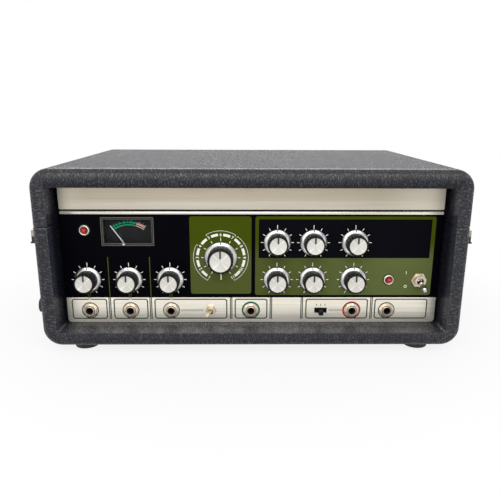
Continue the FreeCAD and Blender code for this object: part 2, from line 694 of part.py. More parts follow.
def latches():
    step = S.latch_sheet + S.latch_gap
    lever_front, lever_back = S.latch_front + step, S.latch_front + S.latch_width - step
    claw_front, claw_back = lever_front + step, lever_back - step
    bases, strikes = [], []
    for side, tag in ((-1, "left"), (1, "right")):
        pivot_x = side * (HALF_WIDTH + S.lever_pivot_out)
        bases.append(latch_base(tag, side, pivot_x))
        node(f"{tag}_latch_lever", latch_lever(tag, side, pivot_x, lever_front, lever_back))
        node(f"{tag}_latch_claw", latch_claw(tag, side, pivot_x, claw_front, claw_back))
        strikes.append(latch_strike(tag, side, claw_front, claw_back))
    node("latch_bases", *bases)
    node("latch_strikes", *strikes)


# ---------------------------------------------------------------- chassis and panels
def chassis():
    body = new_body("chassis")
    outline = new_sketch(body, "XZ_Plane", -PANEL_BACK)
    outer = INNER_HALF - S.chassis_gap
    sheet = S.chassis_sheet
    low, high = S.case_wall, S.deck_height
    lip = outer - S.chassis_flange
    draw_polygon(outline, [
        (-outer, low), (outer, low), (outer, high), (lip, high), (lip, high - sheet),
        (outer - sheet, high - sheet), (outer - sheet, low + sheet), (-outer + sheet, low + sheet),
        (-outer + sheet, high - sheet), (-lip, high - sheet), (-lip, high), (-outer, high),
    ])
    pad(body, outline, INNER_BACK - S.deck_back_gap - PANEL_BACK, reverse=True)
    node("chassis", body)


def front_panel():
    body = new_body("front_panel")
    outline = new_sketch(body, "XZ_Plane", -PANEL_FRONT)
    draw_box(outline, (-PANEL_HALF, PANEL_HALF), (PANEL_LOW, PANEL_TOP))
    hole = S.bushing_radius + S.hole_clearance
    for column, row in SMALL_KNOBS.values():
        draw_circle(outline, S[column], S[row], hole)
    draw_circle(outline, S.mode_x, S.mode_row, hole)
    for column in JACK_COLUMNS:
        draw_circle(outline, S[column], S.row_jacks, S.jack_barrel + S.hole_clearance)
    for column, row in LAMPS:
        draw_circle(outline, S[column], S[row], S.lamp_barrel + S.hole_clearance)
    draw_circle(outline, S.power_x, S.row_low, S.toggle_barrel + S.hole_clearance)
    echo_hole = S.toggle_barrel * S.echo_toggle_scale + S.hole_clearance
    draw_circle(outline, S.echo_switch_x, S.row_jacks, echo_hole)
    draw_box(outline, centred(S.level_x, S.level_frame_width - 1),
             centred(S.row_jacks, S.level_frame_height - 1))
    draw_box(outline, (S.meter_left + S.meter_bezel, S.meter_right - S.meter_bezel),
             (S.meter_low + S.meter_bezel, S.meter_high - S.meter_bezel))
    plate = pad(body, outline, S.panel_sheet, reverse=True)

    def is_corner(edge):
        return lies_at(edge, "X", -PANEL_HALF.value) or lies_at(edge, "X", PANEL_HALF.value)

    round_edges(body, plate, S.panel_corner, lambda edge: is_corner(edge) and is_through(edge),
                "corners")
    node("front_panel", body)


def header_trim():
    half = PANEL_HALF - 1
    bead = new_body("header_bead")
    section = new_sketch(bead, "YZ_Plane", -half)
    middle = (S.bead_low + S.bead_high) / 2
    front = PANEL_FRONT - S.bead_out
    draw_polygon(section, [
        (PANEL_FRONT, S.bead_low), (PANEL_FRONT, S.bead_high), (front + 1, S.bead_high),
        (front, middle), (front + 1, S.bead_low)])
    pad(bead, section, 2 * half)
    band = box("header_band", (-half, half), (PANEL_FRONT - S.band_out, PANEL_FRONT),
               (S.band_low, PANEL_TOP))
    node("header_trim", bead, band)


def back_panel():
    margin = S.rebate_margin - 0.5
    half = S.vent_half_width + margin
    low, high = S.vent_low - margin, VENT_HIGH + margin
    front = S.case_depth - S.rebate_depth
    back = front + S.chassis_sheet
    z = REAR_FITTING_Z
    plate = box("back_plate", (-half, half), (front, back), (low, high))
    node("back_panel", cut(
        "back_sheet", plate,
        rod("fuse_hole", S.fuse_barrel + S.hole_clearance, 9, S.fuse_x, front - 3, z, "+y"),
        rod("gland_hole", S.gland_barrel + S.hole_clearance, 9, S.gland_x, front - 3, z, "+y")))
    heads = []
    inset = S.back_screw + 0.5
    for share in (-1, 0, 1):
        for height in (low + inset, high - inset):
            heads.append(rod(f"back_screw_{len(heads)}", S.back_screw, S.back_screw_height,
                             share * (half - inset), back, height, "+y"))
    node("case_screws", *heads)
    node("rear_fittings", fuse_holder(back, z), cord_gland(back, z))


def fuse_holder(back, z):
    """A panel fuse holder with a slotted cap."""
    barrel, cap = S.fuse_barrel, S.fuse_cap
    body = fuse(
        "fuse_body",
        rod("fuse_barrel", barrel, S.fuse_depth, S.fuse_x, back - S.fuse_depth, z, "+y"),
        rod("fuse_flange", S.fuse_flange, 2, S.fuse_x, back, z, "+y"),
        rod("fuse_cap", cap, 6, S.fuse_x, back + 2, z, "+y"))
    slot = box("fuse_slot", centred(S.fuse_x, 9), (back + 6.8, back + 9), centred(z, 1.4))
    return cut("fuse_holder_solid", body, slot)


def cord_gland(back, z):
    """A strain relief whose bore takes the mains lead."""
    end = S.case_depth + S.gland_reach
    nut_height = 3
    body = fuse(
        "gland_body",
        rod("gland_barrel", S.gland_barrel, 8, S.gland_x, back - 8, z, "+y"),
        prism("gland_flange", 6, S.gland_nut, nut_height, S.gland_x, back, z, "+y"),
        cone("gland_nose", S.gland_nut * 0.8, S.gland_nut * 0.62, end - back - nut_height,
             S.gland_x, back + nut_height, z, "+y"))
    bore = rod("gland_bore", S.cord_bore, S.cord_bore_length + 1, S.gland_x,
               end - S.cord_bore_length, z, "+y")
    return cut("gland_solid", body, bore)


# ---------------------------------------------------------------- controls
def flat_turned_body(name, profile):
    """A solid of revolution about Y from points of (radius, y)."""
    body = new_body(name)
    outline = new_sketch(body, "XY_Plane")
    draw_polygon(outline, profile)
    revolve(body, outline)
    return body


def wheel_corners(count, radius, notch=None):
    """Corners evenly round the sketch's origin; with a notch radius every second one lies deeper."""
    sides = round(count.value)
    corners = []
    for step in range(sides):
        reach = notch if notch is not None and step % 2 else radius
        angle = 360 / sides * (step + 0.5)
        corners.append((reach * cosine(angle), reach * sine(angle)))
    return corners


def knob_pieces(tag, skirt, grip, cap):
    """Skirt, fluted grip, metal cap and shaft of a knob, drawn at the origin and facing -Y."""
    low = -S.knob_gap
    top = low - S.skirt_height
    end = top - S.knob_height
    skirt_body = new_body(f"{tag}_skirt")
    edge = new_sketch(skirt_body, "XZ_Plane", -low)
    draw_polygon(edge, wheel_corners(S.knob_facets, skirt))
    disc = pad(skirt_body, edge, S.skirt_height)
    slope = skirt_body.newObject("PartDesign::Chamfer", f"{tag}_skirt_slope")
    document.recompute()
    slope.Base = (disc, [f"Edge{index}" for index, edge in enumerate(disc.Shape.Edges, start=1)
                         if lies_at(edge, "Y", top.value)])
    bind(slope, Size=S.skirt_height - S.skirt_rim)

    grip_body = new_body(f"{tag}_grip")
    outline = new_sketch(grip_body, "XZ_Plane", -top)
    draw_polygon(outline, wheel_corners(2 * S.flute_count, grip, grip - S.flute_depth))
    pad(grip_body, outline, S.knob_height)

    cap_body = new_body(f"{tag}_cap")
    cap_edge = new_sketch(cap_body, "XZ_Plane", -end)
    draw_polygon(cap_edge, wheel_corners(S.knob_facets, cap))
    pad(cap_body, cap_edge, S.cap_thickness)
    pointer = new_sketch(cap_body, "XZ_Plane", -end + S.cap_thickness, "pointer")
    draw_box(pointer, centred(0, S.pointer_width), (cap * 0.15, cap + 1))
    pocket(cap_body, pointer, S.cap_thickness / 2)
    shaft = rod(f"{tag}_shaft", S.shaft_radius, S.shaft_depth + S.knob_gap, 0, low, 0, "+y")
    return [skirt_body, grip_body, cap_body, shaft]


def knobs():
    small = knob_pieces("small", S.knob_skirt, S.knob_body, S.knob_cap)
    for name, (column, row) in SMALL_KNOBS.items():
        node(name, *small, x=S[column], y=PANEL_FRONT, z=S[row])
    mode = knob_pieces("mode", S.mode_skirt, S.mode_body, S.mode_cap)
    node("mode_selector_knob", *mode, x=S.mode_x, y=PANEL_FRONT, z=S.mode_row)


def pot(name, can, depth):
    """A control behind the panel: a bushing flush with the panel and a twelve-sided can."""
    sheet = S.panel_sheet
    solid = fuse(f"{name}_solid",
                 rod(f"{name}_bushing", S.bushing_radius, sheet + depth / 2, axis="+y"),
                 prism(f"{name}_can", 12, can, depth, 0, sheet, 0, "+y"))
    bore = rod(f"{name}_bore", S.shaft_radius + S.shaft_clearance, S.shaft_depth + 0.3, axis="+y")
    return cut(name, solid, bore)


def controls_behind_panel():
    small = pot("pot", S.pot_can, S.pot_depth)
    rotary = pot("rotary_switch", S.rotary_can, S.rotary_depth)
    copies = [copy_of(f"pot_{index}", small, S[column], PANEL_FRONT, S[row])
              for index, (column, row) in enumerate(SMALL_KNOBS.values())]
    copies.append(copy_of("rotary_switch_copy", rotary, S.mode_x, PANEL_FRONT, S.mode_row))
    node("control_bodies", *copies)


def jacks():
    front = PANEL_FRONT - S.jack_out
    back = PANEL_BACK + S.jack_body_depth
    sockets, nuts = [], []
    for index, column in enumerate(JACK_COLUMNS):
        x = S[column]
        shell = fuse(
            f"jack_shell_{index}",
            rod(f"jack_barrel_{index}", S.jack_barrel, PANEL_BACK - front + 1, x, front, S.row_jacks, "+y"),
            box(f"jack_block_{index}", centred(x, S.jack_body), (PANEL_BACK, back),
                centred(S.row_jacks, S.jack_body)))
        sockets.append(cut(f"jack_{index}", shell, rod(
            f"jack_bore_{index}", S.jack_bore, S.jack_bore_length, x, front, S.row_jacks, "+y")))
        turned = prism(f"nut_hex_{index}", 6, S.jack_nut, S.jack_nut_height, x,
                         PANEL_FRONT - S.jack_nut_height, S.row_jacks, "+y")
        nuts.append(cut(f"jack_nut_{index}", turned, rod(
            f"nut_hole_{index}", S.jack_barrel + S.pin_clearance, S.jack_nut_height + 2, x,
            PANEL_FRONT - S.jack_nut_height - 1, S.row_jacks, "+y")))
    node("jack_sockets", *sockets)
    node("jack_nuts", *nuts)


def lamps():
    bezel = flat_turned_body("lamp_bezel", [
        (S.lamp_bore, -S.lamp_out), (S.lamp_bezel - 0.8, -S.lamp_out), (S.lamp_bezel, 0),
        (S.lamp_barrel, 0), (S.lamp_barrel, S.lamp_barrel_depth), (S.lamp_bore, S.lamp_barrel_depth)])
    lens = fuse(
        "lamp_lens",
        rod("lens_stem", S.lamp_lens, S.lamp_out + S.lamp_body_depth, 0, -S.lamp_out, 0, "+y"),
        cone("lens_dome", S.lamp_lens, S.lamp_lens * 0.55, S.lamp_dome, 0, -S.lamp_out, 0, "-y"))
    bezels, lenses = [], []
    for index, (column, row) in enumerate(LAMPS):
        bezels.append(copy_of(f"bezel_{index}", bezel, S[column], PANEL_FRONT, S[row]))
        lenses.append(copy_of(f"lens_{index}", lens, S[column], PANEL_FRONT, S[row]))
    node("lamp_bezels", *bezels)
    node("lamp_lenses", *lenses)


def toggle_switch(tag, scale, x, z):
    """Nut, barrel and body of a toggle switch, bored for its lever."""
    barrel = S.toggle_barrel * scale
    reach = S.toggle_out * scale
    body = fuse(
        f"{tag}_shell",
        rod(f"{tag}_barrel", barrel, reach + S.panel_sheet + 1, x, PANEL_FRONT - reach, z, "+y"),
        prism(f"{tag}_nut", 6, S.toggle_nut * scale, S.toggle_nut_height * scale, x,
                PANEL_FRONT - S.toggle_nut_height * scale, z, "+y"),
        box(f"{tag}_block", centred(x, S.toggle_body * scale),
            (PANEL_BACK, PANEL_BACK + S.toggle_body_depth * scale),
            centred(z, S.toggle_body * scale)))
    bore = rod(f"{tag}_bore", S.toggle_bore * scale, reach + S.panel_sheet, x, PANEL_FRONT - reach, z, "+y")
    return cut(f"{tag}_body", body, bore)


def toggle_lever(tag, scale, turn, x, z):
    """A bat lever whose round root lies across the barrel; it pivots about the root's axis."""
    reach = S.bat_length * scale
    tip = S.bat_tip * scale
    root = rod(f"{tag}_root", S.bat_trunnion * scale, S.bat_trunnion_width * scale,
               -S.bat_trunnion_width * scale / 2, axis="+x")
    stem = cone(f"{tag}_stem", S.bat_root * scale, tip, reach)
    dome = cone(f"{tag}_dome", tip, tip * 0.55, tip * 0.6, z=reach)
    lever = fuse(f"{tag}_bat", root, stem, dome)
    put(lever, x, PANEL_FRONT - TOGGLE_PIVOT_OUT * scale, z, turn=turn)
    return lever


def switches():
    scale = S.echo_toggle_scale
    node("toggle_switch_bodies",
         toggle_switch("power_switch", Size.of(1), S.power_x, S.row_low),
         toggle_switch("echo_switch", scale, S.echo_switch_x, S.row_jacks))
    tilt = S.toggle_tilt.value
    towards_front = FreeCAD.Rotation(FreeCAD.Vector(1, 0, 0), 90)
    downwards = FreeCAD.Rotation(FreeCAD.Vector(1, 0, 0), tilt)
    leftwards = FreeCAD.Rotation(FreeCAD.Vector(0, 0, 1), -tilt)
    node("power_lever", toggle_lever("power_lever", Size.of(1), downwards * towards_front,
                                     S.power_x, S.row_low))
    upright = FreeCAD.Rotation(FreeCAD.Vector(0, 0, 1), 90)
    node("echo_lever", toggle_lever("echo_lever", scale, leftwards * towards_front * upright,
                                    S.echo_switch_x, S.row_jacks))
    frame_front = PANEL_FRONT - 0.6
    frame = box("level_frame", centred(S.level_x, S.level_frame_width), (frame_front, PANEL_FRONT),
                centred(S.row_jacks, S.level_frame_height))
    block = box("level_block", centred(S.level_x, S.level_frame_width - 1.3),
                (PANEL_FRONT, PANEL_BACK + 8), centred(S.row_jacks, S.level_frame_height - 1.3))
    slot = box("level_slot", centred(S.level_x, S.level_slot_width), (frame_front - 1, PANEL_BACK + 4),
               centred(S.row_jacks, S.level_slot_height))
    node("level_switch_frame", cut("level_frame_cut", fuse("level_frame_solid", frame, block), slot))
    node("level_slider", box("slider", centred(S.level_x, S.slider_width),
                             (PANEL_FRONT - S.slider_out, PANEL_BACK + 3.8),
                             centred(S.row_jacks, S.level_slot_height - 0.4)))


def meter():
    margin, wall = S.meter_margin, S.meter_wall
    left, right = S.meter_left - margin, S.meter_right + margin
    low, high = S.needle_z - 2 * margin, S.meter_high + margin / 2
    back = PANEL_BACK + S.meter_depth
    frame = cut(
        "meter_bezel_frame",
        box("bezel_block", (S.meter_left, S.meter_right),
            (PANEL_FRONT - S.meter_bezel_out, PANEL_FRONT), (S.meter_low, S.meter_high)),
        box("bezel_hole", (S.meter_left + S.meter_bezel, S.meter_right - S.meter_bezel),
            (PANEL_FRONT - 3, PANEL_FRONT + 1),
            (S.meter_low + S.meter_bezel, S.meter_high - S.meter_bezel)))
    case = cut(
        "meter_case",
        box("meter_block", (left, right), (PANEL_BACK, back), (low, high)),
        box("meter_hollow", (left + wall, right - wall), (PANEL_BACK - 1, back - wall),
            (low + wall, high - wall)))
    node("meter_housing", frame, case)
    dial_front = PANEL_BACK + S.dial_depth
    dial = cut(
        "dial",
        box("dial_plate", (left + wall, right - wall), (dial_front, dial_front + 1),
            (low + wall, high - wall)),
        rod("dial_hole", S.needle_pin + S.pin_clearance, 3, S.needle_x, dial_front - 1, S.needle_z, "+y"))
    movement = cut(
        "meter_movement",
        box("movement_block", centred(S.needle_x, S.movement_width), (dial_front + 1, back - wall),
            (low + wall, low + wall + S.movement_height)),
        rod("movement_hole", S.needle_pin + S.pin_clearance, 4, S.needle_x, dial_front, S.needle_z, "+y"))
    node("meter_dial", dial, movement)
    node("meter_window", box(
        "window", (S.meter_left + S.meter_bezel + 0.1, S.meter_right - S.meter_bezel - 0.1),
        (PANEL_FRONT - 0.4, PANEL_FRONT + 1),
        (S.meter_low + S.meter_bezel + 0.1, S.meter_high - S.meter_bezel - 0.1)))
    needle_back = dial_front - 0.4
    pointer = document.addObject("Part::Box", "needle_pointer")
    bind(pointer, Length=S.needle_width, Width=0.5, Height=S.needle_length)
    tilt = FreeCAD.Rotation(FreeCAD.Vector(0, 1, 0), -S.needle_rest.value)
    half = S.needle_width / 2
    put(pointer, S.needle_x - half * cosine(S.needle_rest), needle_back - 1.2,
        S.needle_z - half * sine(S.needle_rest), turn=tilt)
    node("meter_needle", fuse(
        "needle", pointer,
        rod("needle_hub", S.needle_hub, 1.6, S.needle_x, needle_back - 1.6, S.needle_z, "+y"),
        rod("needle_pin", S.needle_pin, 4, S.needle_x, needle_back - 1, S.needle_z, "+y")))


# ---------------------------------------------------------------- deck and tape transport
def deck():
    outer = INNER_HALF - S.chassis_gap
    back = INNER_BACK - S.deck_back_gap
    shaft_hole = S.bearing_radius + 0.02
    plate = cut(
        "deck_sheet_metal",
        box("deck_blank", (-outer, outer), (S.deck_front, back), (S.deck_height, DECK_TOP)),
        rod("bearing_hole", shaft_hole, 6, S.capstan_x, CAPSTAN_Y, S.deck_height - 2),
        rod("arm_hole", S.shaft_radius + S.shaft_clearance, 6, S.arm_pivot_x, S.arm_pivot_y,
            S.deck_height - 2))
    bearing = ring("capstan_bearing", S.bearing_radius, S.capstan_radius + S.pin_clearance,
                   DECK_TOP + 0.6 - FLYWHEEL_HIGH - 0.4, S.capstan_x, CAPSTAN_Y, FLYWHEEL_HIGH + 0.4)
    node("deck_plate", plate, bearing, capstan_bridge())
    disc = ring("flywheel_disc", S.flywheel_radius, S.capstan_radius + S.press_gap,
                FLYWHEEL_HIGH - FLYWHEEL_LOW, S.capstan_x, CAPSTAN_Y, FLYWHEEL_LOW)
    capstan_low = FLYWHEEL_LOW - S.bridge_drop + S.bridge_sheet + S.bridge_end_gap
    capstan = rod("capstan", S.capstan_radius, DECK_TOP + S.capstan_rise - capstan_low, S.capstan_x,
                  CAPSTAN_Y, capstan_low)
    node("flywheel", disc, capstan)


def capstan_bridge():
    """The thrust bar under the flywheel, hung from the deck on two posts clear of the belt."""
    low = FLYWHEEL_LOW - S.bridge_drop
    sheet, post = S.bridge_sheet, S.bridge_post
    span = S.flywheel_radius + S.bridge_post_gap
    half, half_width = span + post + 1, S.bridge_width / 2
    angle = crosswise_to_belt()
    bar = document.addObject("Part::Box", "bridge_bar")
    bind(bar, Length=2 * half, Width=S.bridge_width, Height=sheet)
    put(bar, S.capstan_x - half * cosine(angle) + half_width * sine(angle),
        CAPSTAN_Y - half * sine(angle) - half_width * cosine(angle), low,
        turn=FreeCAD.Rotation(FreeCAD.Vector(0, 0, 1), angle))
    pieces = [bar]
    for side in (-1, 1):
        pieces.append(rod(f"bridge_post_{side + 1}", post, S.deck_height - low - sheet,
                          S.capstan_x + side * span * cosine(angle),
                          CAPSTAN_Y + side * span * sine(angle), low + sheet))
    return fuse("capstan_bridge", *pieces)


def crosswise_to_belt():
    """The direction, in degrees, square to the line from the motor to the capstan."""
    away_y = (S.motor_y - CAPSTAN_Y).value
    away_x = (S.capstan_x - S.motor_x).value
    return math.degrees(math.atan2(away_x, away_y))


def tank():
    outer_x, outer_y = (S.tank_left, S.tank_right), (S.tank_front, TANK_BACK)
    wall = S.tank_wall
    inner_x = (S.tank_left + wall, S.tank_right - wall)
    inner_y = (S.tank_front + wall, TANK_BACK - wall)
    top = DECK_TOP + S.tank_height
    mouth_y = centred(S.tape_return_y, S.tank_mouth)
    mouth_z = (DECK_TOP + S.tank_floor, top + 1)
    node("tape_tank", cut(
        "tank_tray",
        box("tank_block", outer_x, outer_y, (DECK_TOP, top)),
        box("tank_hollow", inner_x, inner_y, (DECK_TOP + S.tank_floor, top + 1)),
        box("left_mouth", (S.tank_left - 1, S.tank_left + wall + 1), mouth_y, mouth_z),
        box("right_mouth", (S.tank_right - wall - 1, S.tank_right + 1), mouth_y, mouth_z)))
    hang = S.window_overhang
    node("tape_window", box(
        "window_sheet", (S.tank_left - hang, S.tank_right + hang),
        (S.tank_front - hang, TANK_BACK + hang), (top, top + S.window_sheet)))
    screws = []
    inset = S.thumbscrew_inset
    for x in (S.tank_left + inset, S.tank_right - inset):
        for y in (S.tank_front + inset, TANK_BACK - inset):
            screws.append(prism(f"thumbscrew_{len(screws)}", 12, S.thumbscrew_radius,
                                S.thumbscrew_height, x, y, top + S.window_sheet))
    node("window_thumbscrews", *screws)


def rounded_route(corners):
    """A closed wire through (x, y, bend radius) corners: straight runs and tangent arcs."""
    points = [FreeCAD.Vector(x, y, 0) for x, y, _ in corners]
    count = len(points)
    starts, ends, arcs = [], [], []
    for index, (_, _, radius) in enumerate(corners):
        before = (points[index - 1] - points[index]).normalize()
        after = (points[(index + 1) % count] - points[index]).normalize()
        half_angle = before.getAngle(after) / 2
        reach = radius / math.tan(half_angle)
        start, end = points[index] + before * reach, points[index] + after * reach
        bisector = (before + after).normalize()
        middle = points[index] + bisector * (radius / math.sin(half_angle) - radius)
        starts.append(start)
        ends.append(end)
        arcs.append(Part.Arc(start, middle, end).toShape())
    edges = []
    for index in range(count):
        edges.append(arcs[index])
        following = starts[(index + 1) % count]
        if (following - ends[index]).Length > 0.001:
            edges.append(Part.LineSegment(ends[index], following).toShape())
    return Part.Wire(edges)


def moved_left(corners, shift):
    """The same route moved to its own left by shift: bends to the left get tighter."""
    moved = []
    for index, (x, y, radius) in enumerate(corners):
        here = FreeCAD.Vector(x, y, 0)
        before = FreeCAD.Vector(*corners[index - 1][:2], 0)
        after = FreeCAD.Vector(*corners[(index + 1) % len(corners)][:2], 0)
        arriving, leaving = (here - before).normalize(), (after - here).normalize()
        left = FreeCAD.Vector(-arriving.y - leaving.y, arriving.x + leaving.x, 0)
        place = here + left * (shift / (1 + arriving.dot(leaving)))
        turns_left = arriving.cross(leaving).z > 0
        moved.append((place.x, place.y, radius - shift if turns_left else radius + shift))
    return moved


def band_between(name, outer, inner, height, z):
    """A band standing on edge between an outer and an inner closed wire."""
    up = FreeCAD.Vector(0, 0, height.value)
    item = document.addObject("Part::Feature", name)
    item.Shape = Part.Face(outer).extrude(up).cut(Part.Face(inner).extrude(up))
    item.Placement = FreeCAD.Placement(FreeCAD.Vector(0, 0, z.value), FreeCAD.Rotation())
    return item


def tape_loop():
    """The endless tape: past the heads, round the corner posts and in folds through the tank."""
    post = S.post_bend.value
    left, right = S.tape_left.value, S.tape_right.value
    run, back = S.tape_run_y.value, S.tape_return_y.value
    pitch = (TANK_BACK - S.fold_margin - S.tape_return_y).value / 4
    fold = pitch / 2
    rows = [back + pitch * step for step in range(5)]
    near, far, step = S.fold_left.value, S.fold_right.value, S.fold_step.value
    outside = near - pitch
    corners = [(right, run, post), (right, back, post), (near + step, rows[0], fold),
               (near + step, rows[1], fold), (far, rows[1], fold), (far, rows[2], fold),
               (near, rows[2], fold), (near, rows[3], fold), (far - step, rows[3], fold),
               (far - step, rows[4], fold), (outside, rows[4], fold), (outside, back, fold),
               (left, back, post), (left, run, post)]
    half = S.tape_thickness.value / 2
    outer, inner = [rounded_route(moved_left(corners, side * half)) for side in (-1, 1)]
    node("tape_loop", band_between("tape", outer, inner, S.tape_width, TAPE_LOW))


def heads_and_guides():
    face = S.tape_run_y + S.tape_thickness / 2 + S.tape_gap / 2
    heads = []
    for name, column in HEADS:
        x = S[column]
        block = box(f"{name}_block", centred(x, S.head_width), (face, face + S.head_depth),
                    (DECK_TOP, DECK_TOP + S.head_height))
        curve = rod(f"{name}_curve", S.head_round, S.head_height, x, face + S.head_round, DECK_TOP)
        heads.append(document.addObject("Part::Common", f"{name}_head"))
        heads[-1].Base = block
        heads[-1].Tool = curve
    node("tape_heads", *heads)
    posts = []
    radius = S.post_bend - S.tape_thickness / 2 - S.tape_gap
    for x in (S.tape_left + S.post_bend, S.tape_right - S.post_bend):
        for y in (S.tape_run_y + S.post_bend, S.tape_return_y - S.post_bend):
            tag = len(posts)
            posts.append(fuse(
                f"guide_{tag}",
                rod(f"guide_foot_{tag}", radius + 1.2, S.tape_lift - 1, x, y, DECK_TOP),
                rod(f"guide_post_{tag}", radius, S.tape_lift + S.tape_width, x, y, DECK_TOP),
                rod(f"guide_cap_{tag}", radius + 1.2, 1.2, x, y,
                    DECK_TOP + S.tape_lift + S.tape_width)))
    node("tape_guides", *posts)


def pinch_roller():
    """The arm at rest, swung clear of the tape; the roller turns on the arm's pin."""
    gap = S.tape_gap
    engaged_y = S.tape_run_y - S.tape_thickness / 2 - gap - S.roller_radius - S.arm_pivot_y
    engaged_x = S.capstan_x - S.arm_pivot_x
    swing = S.arm_swing
    roller_x = S.arm_pivot_x + engaged_x * cosine(swing) - engaged_y * sine(swing)
    roller_y = S.arm_pivot_y + engaged_x * sine(swing) + engaged_y * cosine(swing)
    low = DECK_TOP + gap
    sheet, half = S.arm_sheet, S.arm_half_width
    length = math.hypot(engaged_x.value, engaged_y.value)
    angle = math.degrees(math.atan2(engaged_y.value, engaged_x.value)) + swing.value
    bar = document.addObject("Part::Box", "arm_bar")
    bind(bar, Length=length, Width=2 * half, Height=sheet)
    turn = FreeCAD.Rotation(FreeCAD.Vector(0, 0, 1), angle)
    put(bar, S.arm_pivot_x + half * sine(angle), S.arm_pivot_y - half * cosine(angle), low, turn=turn)
    shaft_low = S.deck_height - S.arm_shaft_depth
    node("pinch_arm", fuse(
        "arm",
        bar,
        rod("arm_hub", half, sheet + S.arm_hub_height, S.arm_pivot_x, S.arm_pivot_y, low),
        rod("arm_end", half, sheet, roller_x, roller_y, low),
        rod("arm_shaft", S.shaft_radius, low + sheet - shaft_low, S.arm_pivot_x, S.arm_pivot_y,
            shaft_low),
        rod("roller_pin", S.roller_pin, S.roller_pin_height, roller_x, roller_y, low)))
    node("pinch_roller", ring("roller", S.roller_radius, S.roller_pin + S.pin_clearance,
                              S.roller_height,
                              roller_x, roller_y, low + sheet + gap))


def hull_wire(near, near_radius, far, far_radius):
    """The closed outline of a belt round two circles: two tangent lines and two arcs."""
    span = far - near
    direction = math.atan2(span.y, span.x)
    lean = math.acos((near_radius - far_radius) / span.Length)

    def on_circle(centre, radius, angle):
        return centre + FreeCAD.Vector(math.cos(angle), math.sin(angle), 0) * radius

    up, down = direction + lean, direction - lean
    a, b = on_circle(near, near_radius, up), on_circle(far, far_radius, up)
    c, d = on_circle(far, far_radius, down), on_circle(near, near_radius, down)
    round_far = Part.Arc(b, on_circle(far, far_radius, direction), c).toShape()
    round_near = Part.Arc(d, on_circle(near, near_radius, direction + math.pi), a).toShape()
    line_up = Part.LineSegment(a, b).toShape()
    line_down = Part.LineSegment(c, d).toShape()
    return Part.Wire([line_up, round_far, line_down, round_near])


def drive():
    middle = (FLYWHEEL_LOW + FLYWHEEL_HIGH) / 2
    motor = FreeCAD.Vector(S.motor_x.value, S.motor_y.value, 0)
    capstan = FreeCAD.Vector(S.capstan_x.value, CAPSTAN_Y.value, 0)
    gap = S.tape_gap.value
    thick = S.belt_thickness.value
    small, large = S.pulley_radius.value + gap, S.flywheel_radius.value + gap
    inner = hull_wire(motor, small, capstan, large)
    outer = hull_wire(motor, small + thick, capstan, large + thick)
    node("drive_belt", band_between("belt", outer, inner, S.belt_height, middle - S.belt_height / 2))
    pulley_low, pulley_high = middle - S.belt_height, middle + S.belt_height
    shaft_low = MOTOR_HIGH - S.motor_shaft_seat
    motor_low = CASE_FLOOR + S.reverb_height + S.motor_reverb_gap
    flange = 2 * (S.motor_radius + S.motor_flange)
    node("motor_pulley", fuse(
        "pulley",
        rod("pulley_drum", S.pulley_radius, pulley_high - pulley_low, S.motor_x, S.motor_y, pulley_low),
        rod("motor_shaft", S.motor_shaft, pulley_high - shaft_low, S.motor_x, S.motor_y, shaft_low)))
    can = fuse(
        "motor_can",
        rod("motor_round", S.motor_radius, MOTOR_HIGH - motor_low - 2, S.motor_x, S.motor_y, motor_low),
        box("motor_plate", centred(S.motor_x, flange), centred(S.motor_y, flange),
            (MOTOR_HIGH - 2, MOTOR_HIGH)))
    bore = rod("motor_bore", S.motor_shaft + S.pin_clearance, S.motor_shaft_seat + 2, S.motor_x,
               S.motor_y, shaft_low - S.tape_gap)
    posts = []
    aim = math.degrees(math.atan2((capstan - motor).y, (capstan - motor).x))
    for step in range(3):
        angle = aim + 60 + 120 * step
        reach = S.motor_radius + 1.5
        posts.append(rod(f"motor_post_{step}", 3.0, S.deck_height - MOTOR_HIGH,
                         S.motor_x + reach * cosine(angle), S.motor_y + reach * sine(angle),
                         MOTOR_HIGH))
    node("drive_motor", cut("motor", can, bore), *posts)


def board(name, x, y, low, foot, leg_height):
    """A printed board with a standoff under or over each corner."""
    inset = S.standoff_inset
    pieces = [box(name, x, y, (low, low + S.board_sheet))]
    for leg_x in (x[0] + inset, x[1] - inset):
        for leg_y in (y[0] + inset, y[1] - inset):
            pieces.append(prism(f"{name}_standoff_{len(pieces)}", 6, S.standoff_radius, leg_height,
                                leg_x, leg_y, foot))
    return pieces


def electrics():
    inset = S.winding_inset
    winding_back = INNER_BACK - S.transformer_back_gap
    winding_front = winding_back - S.winding_depth
    transformer_y = (winding_front + winding_back) / 2
    core = box("core", centred(S.transformer_x, S.core_width),
               centred(transformer_y, S.core_depth), (CASE_FLOOR, CASE_FLOOR + S.core_height))
    winding = box("winding", centred(S.transformer_x, S.winding_width),
                  (winding_front, winding_back),
                  (CASE_FLOOR + inset, CASE_FLOOR + S.core_height - inset))
    node("power_transformer", fuse("transformer", core, winding))

    main_low = CASE_FLOOR + S.main_board_lift
    head_low = S.deck_height - S.head_board_drop
    main = board("main_board", centred(0, S.main_board_width),
                 (S.main_board_front, winding_front - S.main_board_gap), main_low, CASE_FLOOR,
                 S.main_board_lift)
    head = board("head_board", (S.head_board_left, S.head_board_right),
                 (S.head_board_front, S.head_board_back), head_low, head_low + S.board_sheet,
                 S.head_board_drop - S.board_sheet)
    node("circuit_boards", *main, *head)

    sheet, flange = S.reverb_sheet, S.reverb_flange
    back = INNER_BACK - S.reverb_back_gap
    tray = box("reverb_tray", centred(S.reverb_x, S.reverb_width),
               (winding_front, back), (CASE_FLOOR + sheet, CASE_FLOOR + S.reverb_height))
    rim = box("reverb_rim", centred(S.reverb_x, S.reverb_width + 2 * flange),
              (winding_front + flange / 2, back - flange / 2), (CASE_FLOOR, CASE_FLOOR + sheet))
    node("reverb_tank", fuse("reverb_solid", tray, rim))


